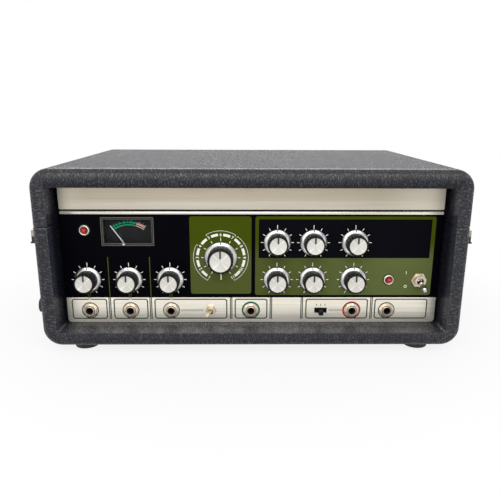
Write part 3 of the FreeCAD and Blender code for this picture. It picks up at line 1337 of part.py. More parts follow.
# ---------------------------------------------------------------- build and check
def check_and_write():
    document.recompute()
    for item in document.Objects:
        if "Invalid" in item.State or "Error" in item.State:
            raise RuntimeError(f"{item.Name} failed: {item.State}")
    os.makedirs("parts", exist_ok=True)
    for name, item in NODES.items():
        shape = item.Shape
        if shape.isNull() or not shape.isValid() or not shape.Solids:
            raise RuntimeError(f"{name} has no valid solid")
        shape.exportStep(os.path.join("parts", f"{name}.step"))
        extent = shape.BoundBox
        print(f"{name}: {len(shape.Solids)} solids, "
              f"x {extent.XMin:.1f} {extent.XMax:.1f}, y {extent.YMin:.1f} {extent.YMax:.1f}, "
              f"z {extent.ZMin:.1f} {extent.ZMax:.1f}")


lower_case()
lid_shell()
rubber_feet()
handle()
hinges()
latches()
chassis()
front_panel()
header_trim()
back_panel()
knobs()
controls_behind_panel()
jacks()
lamps()
switches()
meter()
deck()
tank()
tape_loop()
heads_and_guides()
pinch_roller()
drive()
electrics()
check_and_write()
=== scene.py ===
"""Looks of a tape echo unit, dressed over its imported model.

Shapes are in millimetres from the middle of the case's front bottom edge: x to the right, y to the
back, z up. Textures, lamps and the camera are in the frame's own metres.
"""
import math

import bmesh
import bpy
from mathutils import Matrix, Vector


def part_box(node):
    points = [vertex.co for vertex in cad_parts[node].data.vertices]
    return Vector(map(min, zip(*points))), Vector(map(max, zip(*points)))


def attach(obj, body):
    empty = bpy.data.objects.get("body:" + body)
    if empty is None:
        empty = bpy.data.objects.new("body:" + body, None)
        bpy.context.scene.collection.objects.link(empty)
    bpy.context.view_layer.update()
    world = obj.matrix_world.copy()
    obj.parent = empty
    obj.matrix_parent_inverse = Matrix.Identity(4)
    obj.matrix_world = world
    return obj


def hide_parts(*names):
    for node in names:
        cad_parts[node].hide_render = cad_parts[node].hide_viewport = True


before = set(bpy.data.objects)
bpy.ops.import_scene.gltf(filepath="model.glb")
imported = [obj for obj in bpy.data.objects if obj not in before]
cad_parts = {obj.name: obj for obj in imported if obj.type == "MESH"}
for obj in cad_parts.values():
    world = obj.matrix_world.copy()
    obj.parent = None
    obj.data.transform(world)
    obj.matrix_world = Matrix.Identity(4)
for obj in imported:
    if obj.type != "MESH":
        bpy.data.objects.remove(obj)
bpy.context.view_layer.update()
MM = 0.001
case_low, case_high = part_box("lower_case")
CASE = Vector(((case_low.x + case_high.x) / 2, case_low.y, case_low.z))
TO_ROOM = Matrix.Translation(CASE) @ Matrix.Scale(MM, 4)
FACE = (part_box("front_panel")[0].y - CASE.y) / MM

# the case, its recess and its rear opening
HALF, DEPTH, HEIGHT = 207.5, 270.0, 175.7
CORNER, RIM = 18.5, 8.0
INNER_HALF, INNER_BACK, ROOF, SILL = 192.5, 258.0, 158.7, 15.0
SEAM, SEAM_GAP, TURNED_EDGE = 121.0, 0.4, 1.1
REBATE_HALF, REBATE_Z, REBATE_DEPTH = 168, (20, 96), 3
VENT_HALF, VENT_Z = 160, (28, 88)
HINGE_X, HINGE_LEAF = 120.0, 1.5

# columns and rows of the controls
LOW_ROW, HIGH_ROW, JACK_ROW = 61.6, 100.4, 28.4
INPUTS = (-166.3, -124.6, -83.0)
BASS_X, TREBLE_X, VOLUME_X, LAMP_X = 25.1, 61.3, 103.0, 139.3
KNOBS = {
    "mic_one_knob": (INPUTS[0], LOW_ROW), "mic_two_knob": (INPUTS[1], LOW_ROW),
    "instrument_knob": (INPUTS[2], LOW_ROW), "bass_knob": (BASS_X, HIGH_ROW),
    "treble_knob": (TREBLE_X, HIGH_ROW), "reverb_volume_knob": (VOLUME_X, HIGH_ROW),
    "repeat_rate_knob": (BASS_X, LOW_ROW), "intensity_knob": (TREBLE_X, LOW_ROW),
    "echo_volume_knob": (VOLUME_X, LOW_ROW),
}
MODE = (-31.5, 84.7)
JACKS = (*INPUTS, -1.1, VOLUME_X, LAMP_X)
LAMPS = ((INPUTS[0], 112.9), (LAMP_X, LOW_ROW))
POWER = (169.8, LOW_ROW)
ECHO_SWITCH = -42.2
LEVEL_SWITCH = 71.0
SCALE_CENTRE = (-124.3, 90.0)
DIAL_STEPS, DIAL_START, DIAL_STEP = 11, -150, 30

# heights on the panel, and the front of each printed layer
STRIP_TOP, BLACK_TOP = 42.3, 134.4
BEAD_HALF, BEAD_Z = 188.6, (129.3, 132.0)
FIELDS, LINES, RINGS = FACE - 0.05, FACE - 0.06, FACE - 0.09
SCALES, GROOVES = FACE - 0.13, FACE - 0.3
BEZEL_EDGES = FACE - 1.27

# camera and floor
CAMERA_PLACE = (-0.01551, -0.62184, 0.23542)
CAMERA_TURN = (0.73, 14.67, 0.23)
CAMERA_LENS, CAMERA_SENSOR = 37.83, 36
FLOOR_HALF = 6.0
CHART = 60.0


# ---- camera and lamps
def placed(name, data):
    """A new object in the scene."""
    made = bpy.data.objects.new(name, data)
    bpy.context.scene.collection.objects.link(made)
    return made


def photographer():
    """The camera stands in front, a little above, and looks slightly down."""
    yaw, pitch, roll = map(math.radians, CAMERA_TURN)
    forward = math.cos(pitch)
    ahead = Vector((math.sin(yaw) * forward, math.cos(yaw) * forward, -math.sin(pitch)))
    level = Vector((math.cos(yaw), -math.sin(yaw), 0))
    above = level.cross(ahead)
    right = level * math.cos(roll) + above * math.sin(roll)
    up = above * math.cos(roll) - level * math.sin(roll)
    lens = bpy.data.cameras.new("studio_camera")
    lens.sensor_width = CAMERA_SENSOR
    lens.lens = CAMERA_LENS
    camera = placed("studio_camera", lens)
    turn = Matrix((right, up, -ahead)).transposed().to_4x4()
    camera.matrix_world = Matrix.Translation(CAMERA_PLACE) @ turn
    bpy.context.scene.camera = camera


def soft_lamp(name, place, aim, size, power):
    lamp = bpy.data.lights.new(name, "AREA")
    lamp.shape = "RECTANGLE"
    lamp.size, lamp.size_y = size
    lamp.energy = power
    turn = (Vector(aim) - Vector(place)).to_track_quat("-Z", "Y").to_matrix().to_4x4()
    placed(name, lamp).matrix_world = Matrix.Translation(place) @ turn


# ---- shader sockets and finishes
class Wire:
    """A socket in a node tree. Arithmetic on it adds Math nodes."""

    def __init__(self, graph, socket):
        self.graph = graph
        self.socket = socket

    def sum(self, operation, *others):
        return self.graph.node("ShaderNodeMath", {"operation": operation}, [self, *others])

    def wave(self):
        """A sine of it, between 0 and 1."""
        return self.sum("SINE") * 0.5 + 0.5

    def __add__(self, other):
        return self.sum("ADD", other)

    __radd__ = __add__

    def __mul__(self, other):
        return self.sum("MULTIPLY", other)

    __rmul__ = __mul__

    def __sub__(self, other):
        return self.sum("SUBTRACT", other)

    def __rsub__(self, other):
        return self * -1 + other

    def __truediv__(self, other):
        return self.sum("DIVIDE", other)

    def __rtruediv__(self, other):
        return self ** -1 * other

    def __pow__(self, other):
        return self.sum("POWER", other)

    def __gt__(self, other):
        return self.sum("GREATER_THAN", other)

    def __lt__(self, other):
        return self.sum("LESS_THAN", other)


class Graph:
    """A node tree under construction."""

    def __init__(self, tree):
        self.tree = tree

    def fill(self, socket, value):
        if isinstance(value, Wire):
            self.tree.links.new(value.socket, socket)
        elif socket.type == "RGBA":
            socket.default_value = (*value, 1)
        else:
            socket.default_value = value

    def node(self, kind, settings, inputs, output=0):
        """A new node: its settings, then the values or links of its sockets."""
        made = self.tree.nodes.new(kind)
        for label, value in settings.items():
            setattr(made, label, value)
        pairs = inputs.items() if isinstance(inputs, dict) else enumerate(inputs)
        for label, value in pairs:
            self.fill(made.inputs[label], value)
        return Wire(self, made.outputs[output])

    def white_rays(self):
        """1 for camera, glossy and see-through rays, and 0 for the others."""
        camera, glossy, through = (
            self.node("ShaderNodeLightPath", {}, {}, f"Is {kind} Ray")
            for kind in ("Camera", "Glossy", "Transmission"))
        return camera.sum("MAXIMUM", glossy).sum("MAXIMUM", through)


class Finish(Graph):
    """A material under construction, with one principled shader."""

    def __init__(self, name, **fixed):
        self.material = bpy.data.materials.new(name)
        self.material.use_nodes = True
        super().__init__(self.material.node_tree)
        self.shader = self.tree.nodes["Principled BSDF"]
        self.wear(**fixed)

    def wear(self, **varied):
        for label, value in varied.items():
            self.fill(self.shader.inputs[label.replace("_", " ")], value)
        return self.material

    def place(self, stretch=(1, 1, 1), centre=(0, 0, 0)):
        """Places on the unit in metres, less the centre, stretched."""
        spot = self.node("ShaderNodeTexCoord", {}, {}, "Object")
        offset = [-c * s for c, s in zip(centre, stretch)]
        return self.node("ShaderNodeMapping", {},
                         {"Vector": spot, "Location": offset, "Scale": stretch})

    def along(self, axis, vector=None):
        """One coordinate in millimetres of the case, or of another vector."""
        vector = vector or self.place((1000, 1000, 1000), CASE)
        return self.node("ShaderNodeSeparateXYZ", {}, [vector], axis)

    def noise(self, scale, stretch=(1, 1, 1), detail=2.0, rough=0.5):
        return self.node("ShaderNodeTexNoise", {}, {
            "Vector": self.place(stretch), "Scale": scale, "Detail": detail, "Roughness": rough})

    def cells(self, vector, scale, feature="DISTANCE_TO_EDGE", **more):
        """Irregular cells: how far a place lies from their edges, or with F1 their middles."""
        return self.node("ShaderNodeTexVoronoi", {"feature": feature},
                         {"Vector": vector, "Scale": scale, **more})

    def ease(self, value, low, high, start=0.0, end=1.0):
        """A smooth step of a value between two limits."""
        return self.node("ShaderNodeMapRange", {"interpolation_type": "SMOOTHSTEP"}, {
            "Value": value, "From Min": low, "From Max": high, "To Min": start, "To Max": end})

    def patches(self, scale, low, high, rough=0.65, detail=4.0):
        """Soft patches: 0 between them and 1 in their middle."""
        return self.ease(self.noise(scale, detail=detail, rough=rough), low, high)

    def blend(self, share, first, second):
        return self.node("ShaderNodeMix", {"data_type": "RGBA"}, {0: share, 6: first, 7: second}, 2)

    def bump(self, height, distance, strength=1.0):
        return self.node("ShaderNodeBump", {}, {
            "Strength": strength, "Distance": distance, "Height": height}, "Normal")

    def screened(self, colour, rough):
        """Screen-printed paint with a fine tooth."""
        tooth = self.noise(1.0, (300, 2600, 2600))
        return self.wear(Base_Color=colour, Roughness=tooth * 0.14 + rough,
                         Normal=self.bump(tooth, 0.00003, 0.4))


def from_centre(f):
    """How far a place lies from the piece's own middle, in millimetres, and its bearing."""
    spot = f.node("ShaderNodeUVMap", {"uv_map": "from_centre"}, {})
    off = f.node("ShaderNodeVectorMath", {"operation": "SUBTRACT"}, [spot, (0.5, 0.5, 0.0)])
    reach = f.node("ShaderNodeVectorMath", {"operation": "LENGTH"}, [off], "Value") * CHART
    return reach, f.along("Y", off).sum("ARCTAN2", f.along("X", off))


def shade(colour, factor):
    return tuple(c * factor for c in colour)


def grained_vinyl():
    """Leather-grained vinyl, with wear at the front and with painted light: painted shade under the
    roof's lip and deep in the recess, a painted pale blue reflection on the recess's front side
    walls, and painted highlights mixed with wear on the front edges, the sill and the line under
    the seam. Its wrinkles run round the case's edges.
    """
    hollow, ridge = (0.0070, 0.0075, 0.0125), (0.0390, 0.0405, 0.0520)
    dusty, worn_highlight_grey, seam_wear_highlight = (0.070, 0.070, 0.068), (0.112, 0.112, 0.108), (0.18, 0.18, 0.165)
    flank_sheen_blue, recess_shade_blue = (0.105, 0.110, 0.160), (0.0035, 0.0042, 0.0130)
    shadow = (0.0045, 0.0050, 0.0075)
    f = Finish("grained_vinyl", Specular_IOR_Level=0.08, Coat_Roughness=0.34)
    across, deep, up = f.along("X").sum("ABSOLUTE"), f.along("Y"), f.along("Z")

    on_side = (HALF - across) < up.sum("MINIMUM", HEIGHT - up)
    drift = f.node("ShaderNodeTexNoise", {}, {
        "Vector": f.place(), "Scale": 150.0, "Detail": 3.0}, "Color")
    laid = f.node("ShaderNodeMix", {"data_type": "VECTOR"}, {
        0: on_side, 4: f.place((1.5, 0.7, 0.55)), 5: f.place((0.34, 0.6, 1.05))}, 1)
    pushed = f.node("ShaderNodeVectorMath", {"operation": "MULTIPLY_ADD"},
                    [drift, (0.008, 0.008, 0.008), laid])
    raised = f.ease(f.cells(pushed, 420.0), 0.0, 0.34)
    pebble = f.ease(f.cells(pushed, 1000.0), 0.0, 0.3)
    height = raised * 0.8 + pebble * 0.2 + f.noise(90.0) * 0.8
    tone = raised * 0.75 + pebble * 0.25

    within = across < INNER_HALF + 0.5
    near_front = f.ease(deep, 2.0, 11.0, 1.0, 0.0)
    # painted shade: deep in the recess the vinyl is darkened to blue-black and its coat dulled
    recess_shade = within * f.ease(deep, 6.0, 17.0) * ((up > SILL + 1) * 0.6 + 0.4)
    # painted reflection: a pale blue sheen on the recess's side walls near the front
    flank = within * (up > SILL - 1) * (up < ROOF - 1.2) * f.ease(deep, 9.0, 19.0, 1.0, 0.0)
    # painted shade: a dark band under the roof's lip, where its coat is dulled too
    under_roof = f.ease(up, ROOF + 1.3, ROOF + 6.8, 1.0, 0.0) * (up > ROOF - 1.7) * near_front
    under_roof = under_roof * (across < INNER_HALF)
    # wear and painted highlight: the sill, the upper front edge of the roof and the front sides are
    # lightened
    sill = f.ease(up, SILL - 11, SILL - 4) * (up < SILL + 5) * f.ease(deep, 6.0, 24.0, 0.5, 0.1)
    edges = f.ease(up, ROOF + 5.8, ROOF + 10.8).sum("MAXIMUM", on_side * 0.35) * near_front
    wear_and_highlight = edges.sum("MAXIMUM", sill) * (tone * 0.5 + 0.4) * 0.55
    # wear and painted highlight: a pale line along the top edge of the lower half, under the seam
    seam_edge = near_front * on_side * f.ease(up, SEAM - 1.8, SEAM - 0.6) * (up < SEAM)
    rubbed = f.patches(7.0, 0.46, 0.76, 0.62, 5.0)

    colour = f.blend(rubbed * pebble * 0.35, f.blend(tone, hollow, ridge), dusty)
    for share, paint in ((wear_and_highlight, worn_highlight_grey), (under_roof * 0.5, shadow),
                         (flank * (tone * 0.35 + 0.2), flank_sheen_blue),
                         (seam_edge * (tone * 0.5 + 0.2), seam_wear_highlight), (recess_shade * 0.5, recess_shade_blue)):
        colour = f.blend(share, colour, paint)
    shine = (tone * 0.8 + 0.15) * (1 - recess_shade * 0.75) * (1 - under_roof * 0.4)
    return f.wear(Base_Color=colour, Roughness=0.6 - raised * 0.2, Coat_Weight=shine,
                  Normal=f.bump(height, 0.0013))


def strap_vinyl():
    """The carrying strap: grained vinyl with a row of stitches along each edge."""
    middle, row_low, row_high = 62.0, 9.5, 10.3
    f = Finish("strap_vinyl", Specular_IOR_Level=0.25)
    edge = (f.along("Z") - middle).sum("ABSOLUTE")
    row = (edge > row_low) * (edge < row_high)
    stitch = row * ((f.along("Y") * 2.1).sum("SINE") > -0.45)
    grain = f.noise(900.0, detail=3.0, rough=0.6)
    groove = f.ease((edge - 9.9).sum("ABSOLUTE"), 0.3, 1.0)
    body = f.blend(grain, (0.006, 0.006, 0.008), (0.020, 0.020, 0.024))
    return f.wear(Base_Color=f.blend(stitch, body, (0.085, 0.085, 0.082)),
                  Roughness=grain * 0.2 + 0.42,
                  Normal=f.bump(grain * 0.25 + groove + stitch * 0.8, 0.0005, 0.8))


def brushed(name, colour, tone, rough, black_field=False):
    """Aluminium brushed along x, lacquered; its front may carry a printed black field. Without that
    field, painted shade darkens and warms it above a height of 139 mm, and painted light brightens
    its ends.
    """
    f = Finish(name, Specular_IOR_Level=0.02 if black_field else 0.5)
    fine = f.noise(1.0, (18, 2600, 2600), detail=3.0, rough=0.6)
    streak = fine * 0.6 + f.noise(1.0, (5, 700, 700)) * 0.4
    stain = f.patches(22.0, 0.52, 0.8)
    metal = f.blend(streak ** 1.4, shade(colour, tone * 0.62), shade(colour, tone * 1.3))
    metal = f.blend(stain * 0.16, metal, shade(colour, tone * 0.55))
    roughness = streak * 0.16 + rough - 0.08 + stain * 0.12
    metallic = 0.92 - stain * 0.2
    if black_field:
        up = f.along("Z")
        printed = (up > STRIP_TOP) * (up < BLACK_TOP) * (f.along("Y") < FACE + 0.2)
        black = f.blend(f.noise(40.0, detail=3.0), (0.0004, 0.0004, 0.0014),
                        (0.0010, 0.0010, 0.0024))
        metal = f.blend(printed, metal, black)
        roughness = roughness + printed * 0.1
        metallic = metallic * (1 - printed)
    else:
        # painted shade: darker and warmer above a height of 139 mm
        high = f.ease(f.along("Z"), 139.0, 146.0)
        top_shade_bronze = f.blend(streak, shade(colour, tone * 0.58), (0.415, 0.355, 0.255))
        # painted light: brighter and less metallic towards both ends, the right one more
        across = f.along("X")
        ends = f.ease(across, 120.0, 190.0) + f.ease(across, -160.0, -190.0) * 0.7
        metal = f.blend(high * 0.85, metal, top_shade_bronze)
        metal = f.blend(ends * 0.55, metal, shade(colour, tone * 1.5))
        metallic = metallic - ends * 0.35
    return f.wear(Base_Color=metal, Roughness=roughness, Metallic=metallic,
                  Normal=f.bump(streak, 0.00005, 0.5))


def ink(name, colour, spread=0.12, rough=0.38, gloss=0.1):
    """One printed colour, a little uneven in tone."""
    f = Finish(name, Specular_IOR_Level=gloss)
    cloud = f.noise(28.0, detail=4.0, rough=0.6)
    return f.screened(f.blend(cloud, shade(colour, 1 - spread), shade(colour, 1 + spread)), rough)


def field_green():
    """The panel's green print, with painted light: painted shade makes it darker and yellower
    towards the top, and a painted reflection makes it lighter towards the lower right.
    """
    f = Finish("field_green", Specular_IOR_Level=0.03)
    # painted shade towards the top and a painted reflection towards the lower right
    height = f.ease(f.along("Z"), 80.0, 104.0)
    right = f.ease(f.along("X"), 10.0, 120.0)
    cloud = f.noise(30.0, detail=4.0, rough=0.6)
    low = f.blend(right, (0.074, 0.088, 0.022), (0.100, 0.122, 0.040))
    colour = f.blend(height, low, (0.044, 0.062, 0.0006))
    return f.screened(f.blend(cloud * 0.3, colour, (0.045, 0.062, 0.006)), 0.4)


def plated(name, colour, rough, tarnish):
    """Plated metal with a faint bloom of tarnish and small handling marks."""
    f = Finish(name, Metallic=1.0)
    bloom = f.patches(160.0, 0.42, 0.78)
    marks = f.noise(1400.0, detail=3.0, rough=0.7)
    dull = shade((colour[0], colour[1] * 0.9, colour[2] * 0.76), 0.62)
    return f.wear(Base_Color=f.blend(bloom * tarnish, colour, dull),
                  Roughness=marks * 0.12 + bloom * 0.16 + rough - 0.06,
                  Normal=f.bump(marks, 0.00002, 0.35))


def latch_plating():
    """Nickel gone yellow, with painted shadow darkening the bent tail below."""
    f = Finish("latch_plating", Metallic=1.0)
    bloom = f.patches(160.0, 0.42, 0.78)
    pale = f.blend(bloom * 0.6, (0.40, 0.36, 0.28), (0.20, 0.17, 0.12))
    # painted shadow: darkened below a height of 108 mm
    low = f.ease(f.along("Z"), 107.0, 109.0, 1.0, 0.0)
    return f.wear(Base_Color=f.blend(low * 0.9, pale, (0.012, 0.012, 0.030)),
                  Roughness=bloom * 0.16 + 0.28, Normal=f.bump(bloom, 0.00002, 0.35))


def zinc_sheet():
    """Rolled and plated sheet: long faint rolling marks under a spangle of crystals."""
    zinc = (0.62, 0.61, 0.56)
    f = Finish("zinc_plated_sheet", Metallic=0.9)
    rolled = f.noise(1.0, (900, 16, 900), detail=3.0)
    spangle = f.cells(f.place(), 240.0, "F1")
    mottle = rolled * 0.5 + spangle * 0.5
    return f.wear(Base_Color=f.blend(mottle, shade(zinc, 0.78), shade(zinc, 1.12)),
                  Roughness=mottle * 0.2 + 0.32, Normal=f.bump(rolled, 0.00003, 0.5))


def moulded(name, colour, rough, grain=900.0, depth=0.00004, gloss=0.45):
    """Moulded plastic or rubber with a fine matt grain and a little dust in the hollows."""
    f = Finish(name, Specular_IOR_Level=gloss)
    tooth = f.noise(grain, detail=3.0, rough=0.6)
    dust = f.patches(60.0, 0.5, 0.8, 0.7)
    pale = tuple(c * 0.8 + 0.03 for c in colour)
    return f.wear(Base_Color=f.blend(dust * 0.3, colour, pale),
                  Roughness=tooth * 0.16 + dust * 0.1 + rough - 0.08,
                  Normal=f.bump(tooth, depth, 0.6))


def painted(name, colour, rough, gloss=0.3):
    """Stoved enamel with a light orange-peel surface."""
    f = Finish(name, Specular_IOR_Level=gloss)
    peel = f.noise(520.0)
    cloud = f.noise(18.0, detail=3.0)
    return f.wear(Base_Color=f.blend(cloud, shade(colour, 0.85), shade(colour, 1.15)),
                  Roughness=peel * 0.12 + rough - 0.06, Normal=f.bump(peel, 0.00006, 0.4))


def spun_metal():
    """The knobs' skirts: bright spun metal, with fine rings read from the piece's own map; painted
    highlights sweep round them and turn with the knob, and painted shade darkens the outer edge.
    """
    f = Finish("spun_skirt", Metallic=1.0)
    reach, angle = from_centre(f)
    ring = (reach * 26.0).wave()
    # painted highlight: bright sweeps round the skirt
    sweep = (angle * 5.0 + 0.6).wave()
    smudge = f.patches(140.0, 0.42, 0.8, 0.6)
    # painted shade: the outer edge is darkened
    edge = f.ease(reach, 12.6, 13.6)
    metal = f.blend(sweep * 0.7 + ring * 0.3, (0.36, 0.38, 0.42), (0.80, 0.79, 0.74))
    metal = f.blend(edge * 0.35, metal, (0.30, 0.29, 0.27))
    metal = f.blend(smudge * 0.35, metal, (0.46, 0.41, 0.30))
    return f.wear(Base_Color=metal, Roughness=ring * 0.08 + smudge * 0.12 + 0.24)


def turned_cap():
    """The knobs' caps: metal turned across its face, with painted highlights of four bright rays
    and grey between, which turn with the knob.
    """
    f = Finish("turned_cap", Metallic=1.0)
    reach, angle = from_centre(f)
    groove = (reach * 22.0).wave()
    # painted highlight: rays, a broad sheen and spokes across the face
    ray = (angle * 2.0).sum("SINE").sum("ABSOLUTE") ** 60
    broad = (angle * 2.0 + 0.9).wave()
    spoke = f.node("ShaderNodeTexNoise", {"noise_dimensions": "1D"},
                   {"W": angle * 3.0, "Scale": 5.0, "Detail": 3.0})
    tone = ray * 0.4 + broad * 0.2 + spoke * 0.45 + groove * 0.06
    smudge = f.patches(110.0, 0.45, 0.8, 0.6)
    metal = f.blend(tone, (0.46, 0.45, 0.405), (0.90, 0.885, 0.83))
    metal = f.blend(smudge * 0.25, metal, (0.45, 0.43, 0.36))
    return f.wear(Base_Color=metal, Roughness=groove * 0.08 + smudge * 0.1 + 0.3,
                  Normal=f.bump(groove, 0.00002, 0.25))


def clear_pane():
    """A thin clear window: mostly seen through, with the faint haze of old acrylic."""
    f = Finish("clear_pane", Roughness=0.08, Specular_IOR_Level=0.12)
    haze = f.noise(30.0, detail=4.0, rough=0.6)
    return f.wear(Base_Color=f.blend(haze, (0.01, 0.011, 0.012), (0.03, 0.032, 0.035)),
                  Alpha=haze * 0.05 + 0.03)


def ruby():
    """A moulded red lens, with painted light: lighter in its dome and darker towards its base."""
    f = Finish("ruby_lens", Specular_IOR_Level=0.25, Coat_Weight=0.3, Coat_Roughness=0.05,
               Roughness=0.3)
    cloud = f.noise(700.0)
    # painted light: the dome is brighter red than the base
    height = f.ease(f.along("Y"), FACE - 4.5, FACE - 1.5)
    glow = f.blend(height, (0.56, 0.006, 0.018), (0.16, 0.001, 0.006))
    return f.wear(Base_Color=f.blend(cloud * 0.35, glow, (0.30, 0.004, 0.014)),
                  Normal=f.bump(cloud, 0.0001, 0.3))


def tape_film():
    """Brown oxide tape with slight streaks along its run."""
    f = Finish("tape_film", Specular_IOR_Level=0.6)
    streak = f.noise(1.0, (30, 30, 2400), detail=3.0)
    return f.wear(Base_Color=f.blend(streak, (0.035, 0.020, 0.013), (0.062, 0.036, 0.022)),
                  Roughness=streak * 0.15 + 0.25, Normal=f.bump(streak, 0.00002, 0.3))


def board_material():
    """Phenolic board: pressed fibres, with pale solder pads in rows."""
    f = Finish("phenolic_board", Specular_IOR_Level=0.4)
    fibre = f.noise(1.0, (120, 900, 900), detail=4.0, rough=0.6)
    dots = f.cells(f.place(), 190.0, "F1", Randomness=0.35)
    pad = f.ease(dots, 0.18, 0.22, 1.0, 0.0)
    resin = f.blend(fibre, (0.20, 0.115, 0.040), (0.34, 0.205, 0.080))
    return f.wear(Base_Color=f.blend(pad, resin, (0.55, 0.55, 0.52)), Metallic=pad * 0.8,
                  Roughness=0.5 - pad * 0.2, Normal=f.bump(pad, 0.0002, 0.5))


def laminated_core():
    """Varnished laminations of a transformer; its winding in amber paper stands out in y."""
    f = Finish("laminated_core", Specular_IOR_Level=0.5)
    low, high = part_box("power_transformer")
    middle = ((low.y + high.y) / 2 - CASE.y) / MM
    paper = (f.along("Y") - middle).sum("ABSOLUTE") > 30.2
    leaf = (f.along("X") * 9.0).wave()
    fibre = f.noise(1.0, (60, 1500, 60), detail=3.0)
    core = f.blend(leaf, (0.020, 0.016, 0.014), (0.065, 0.055, 0.050))
    wrap = f.blend(fibre, (0.36, 0.22, 0.06), (0.50, 0.34, 0.11))
    return f.wear(Base_Color=f.blend(paper, core, wrap), Roughness=0.55 - paper * 0.15,
                  Metallic=(1 - paper) * 0.5,
                  Normal=f.bump(leaf * (1 - paper) + fibre * paper, 0.0001, 0.5))


def two_part(name, metal, plastic, depth, hubs=()):
    """Plated metal in front of a depth in y and moulded plastic behind it, with dark hubs."""
    f = Finish(name)
    behind = f.along("Y") > depth
    across, up = f.along("X"), f.along("Z")
    for x, z, radius in hubs:
        hub = (across - x) ** 2 + (up - z) ** 2 < radius * radius
        behind = behind.sum("MAXIMUM", hub)
    bloom = f.patches(180.0, 0.42, 0.78)
    tooth = f.noise(900.0, detail=3.0)
    bright = f.blend(bloom * 0.3, metal, shade((metal[0], metal[1] * 0.88, metal[2] * 0.74), 0.6))
    dark = f.blend(tooth, shade(plastic, 0.8), shade(plastic, 1.2))
    return f.wear(Base_Color=f.blend(behind, bright, dark), Metallic=1 - behind,
                  Roughness=tooth * 0.1 + bloom * 0.14 + 0.24 + behind * 0.2,
                  Normal=f.bump(tooth, 0.00003, 0.4))


# ---- mesh helpers
def fresh(items, before):
    return [item for item in items if item not in before]


def only(kind, geometry):
    return [item for item in geometry if isinstance(item, kind)]


def faces_of(verts):
    return list({face for vert in verts for face in vert.link_faces})


def shift(bm, verts, way):
    bmesh.ops.translate(bm, vec=way, verts=verts)


def rotate(bm, verts, degrees, axis="Y"):
    turn = Matrix.Rotation(math.radians(degrees), 3, axis)
    bmesh.ops.rotate(bm, cent=(0, 0, 0), matrix=turn, verts=verts)


def push(bm, faces, way):
    """Extrudes faces, and gives the faces and corners that moved."""
    grown = bmesh.ops.extrude_face_region(bm, geom=faces)["geom"]
    corners = only(bmesh.types.BMVert, grown)
    shift(bm, corners, way)
    return only(bmesh.types.BMFace, grown), corners


def bevel(bm, edges, offset, segments, affect="EDGES"):
    bmesh.ops.bevel(bm, geom=edges, offset=offset, offset_type="OFFSET", segments=segments,
                    profile=0.5, affect=affect, material=-1)


def block(bm, x, y, z, corner=0.0, segments=6):
    """A block between limits in x, y and z, its edges along y rounded; gives its corners."""
    before = set(bm.verts)
    verts = bmesh.ops.create_cube(bm, size=1)["verts"]
    bmesh.ops.scale(bm, vec=(x[1] - x[0], y[1] - y[0], z[1] - z[0]), verts=verts)
    shift(bm, verts, (sum(x) / 2, sum(y) / 2, sum(z) / 2))
    if corner:
        edges = {edge for vert in verts for edge in vert.link_edges}
        lengthwise = [e for e in edges if abs(e.verts[0].co.y - e.verts[1].co.y) > 1e-4]
        bevel(bm, lengthwise, corner, segments)
    return fresh(bm.verts, before)


def thicken(bm, faces, front):
    """Grows flat faces on the panel into closed plates, up to a front."""
    push(bm, faces, (0, front - FACE, 0))


def plate(bm, x, z, front, corner, segments=5, hollow=0.0):
    """A thin printed field on the panel, or with a hollow width only its outline."""
    before = set(bm.faces)
    verts = bmesh.ops.create_grid(bm, x_segments=1, y_segments=1, size=0.5)["verts"]
    rotate(bm, verts, 90, "X")
    bmesh.ops.scale(bm, vec=(x[1] - x[0], 1, z[1] - z[0]), verts=verts)
    shift(bm, verts, (sum(x) / 2, FACE, sum(z) / 2))
    bevel(bm, verts, corner, segments, "VERTICES")
    faces = fresh(bm.faces, before)
    if hollow:
        bmesh.ops.inset_region(bm, faces=faces, thickness=hollow, use_even_offset=True,
                               use_boundary=True)
        bmesh.ops.delete(bm, geom=faces, context="FACES")
        faces = fresh(bm.faces, before)
    thicken(bm, faces, front)


def arc(bm, centre, inner, outer, start, end, front):
    """A printed band round a centre, between angles in degrees clockwise from the top."""
    x, z = centre
    before = set(bm.faces)
    angle, sweep = math.radians(start), abs(end - start)
    ends = [bm.verts.new((x + r * math.sin(angle), FACE, z + r * math.cos(angle)))
            for r in (inner, outer)]
    bmesh.ops.spin(bm, geom=[*ends, bm.edges.new(ends)], cent=(x, 0, z), axis=(0, 1, 0),
                   angle=math.radians(end - start), steps=max(3, round(sweep / 4)),
                   use_merge=sweep > 359)
    thicken(bm, fresh(bm.faces, before), front)


def ray(bm, centre, inner, outer, angle, width, front):
    """A printed line that points away from a centre."""
    verts = block(bm, (-width / 2, width / 2), (front, FACE), (inner, outer))
    rotate(bm, verts, angle)
    shift(bm, verts, (centre[0], 0, centre[1]))


def upright(bm, x, width, z, front):
    """A printed line up the panel."""
    block(bm, (x - width / 2, x + width / 2), (front, FACE), z)


def turned(bm, profile, steps, finish=0, at=None):
    """Spins a profile of (radius, height towards the front) about y; gives its corners."""
    before_faces, before_verts = set(bm.faces), set(bm.verts)
    line = [bm.verts.new((radius, -out, 0)) for radius, out in profile]
    joins = [bm.edges.new(pair) for pair in zip(line, line[1:])]
    bmesh.ops.spin(bm, geom=[*line, *joins], cent=(0, 0, 0), axis=(0, 1, 0), angle=2 * math.pi,
                   steps=steps, use_merge=True)
    bmesh.ops.remove_doubles(bm, verts=fresh(bm.verts, before_verts), dist=1e-4)
    for face in fresh(bm.faces, before_faces):
        face.material_index = finish
    made = fresh(bm.verts, before_verts)
    if at:
        shift(bm, made, (at[0], FACE, at[1]))
    return made


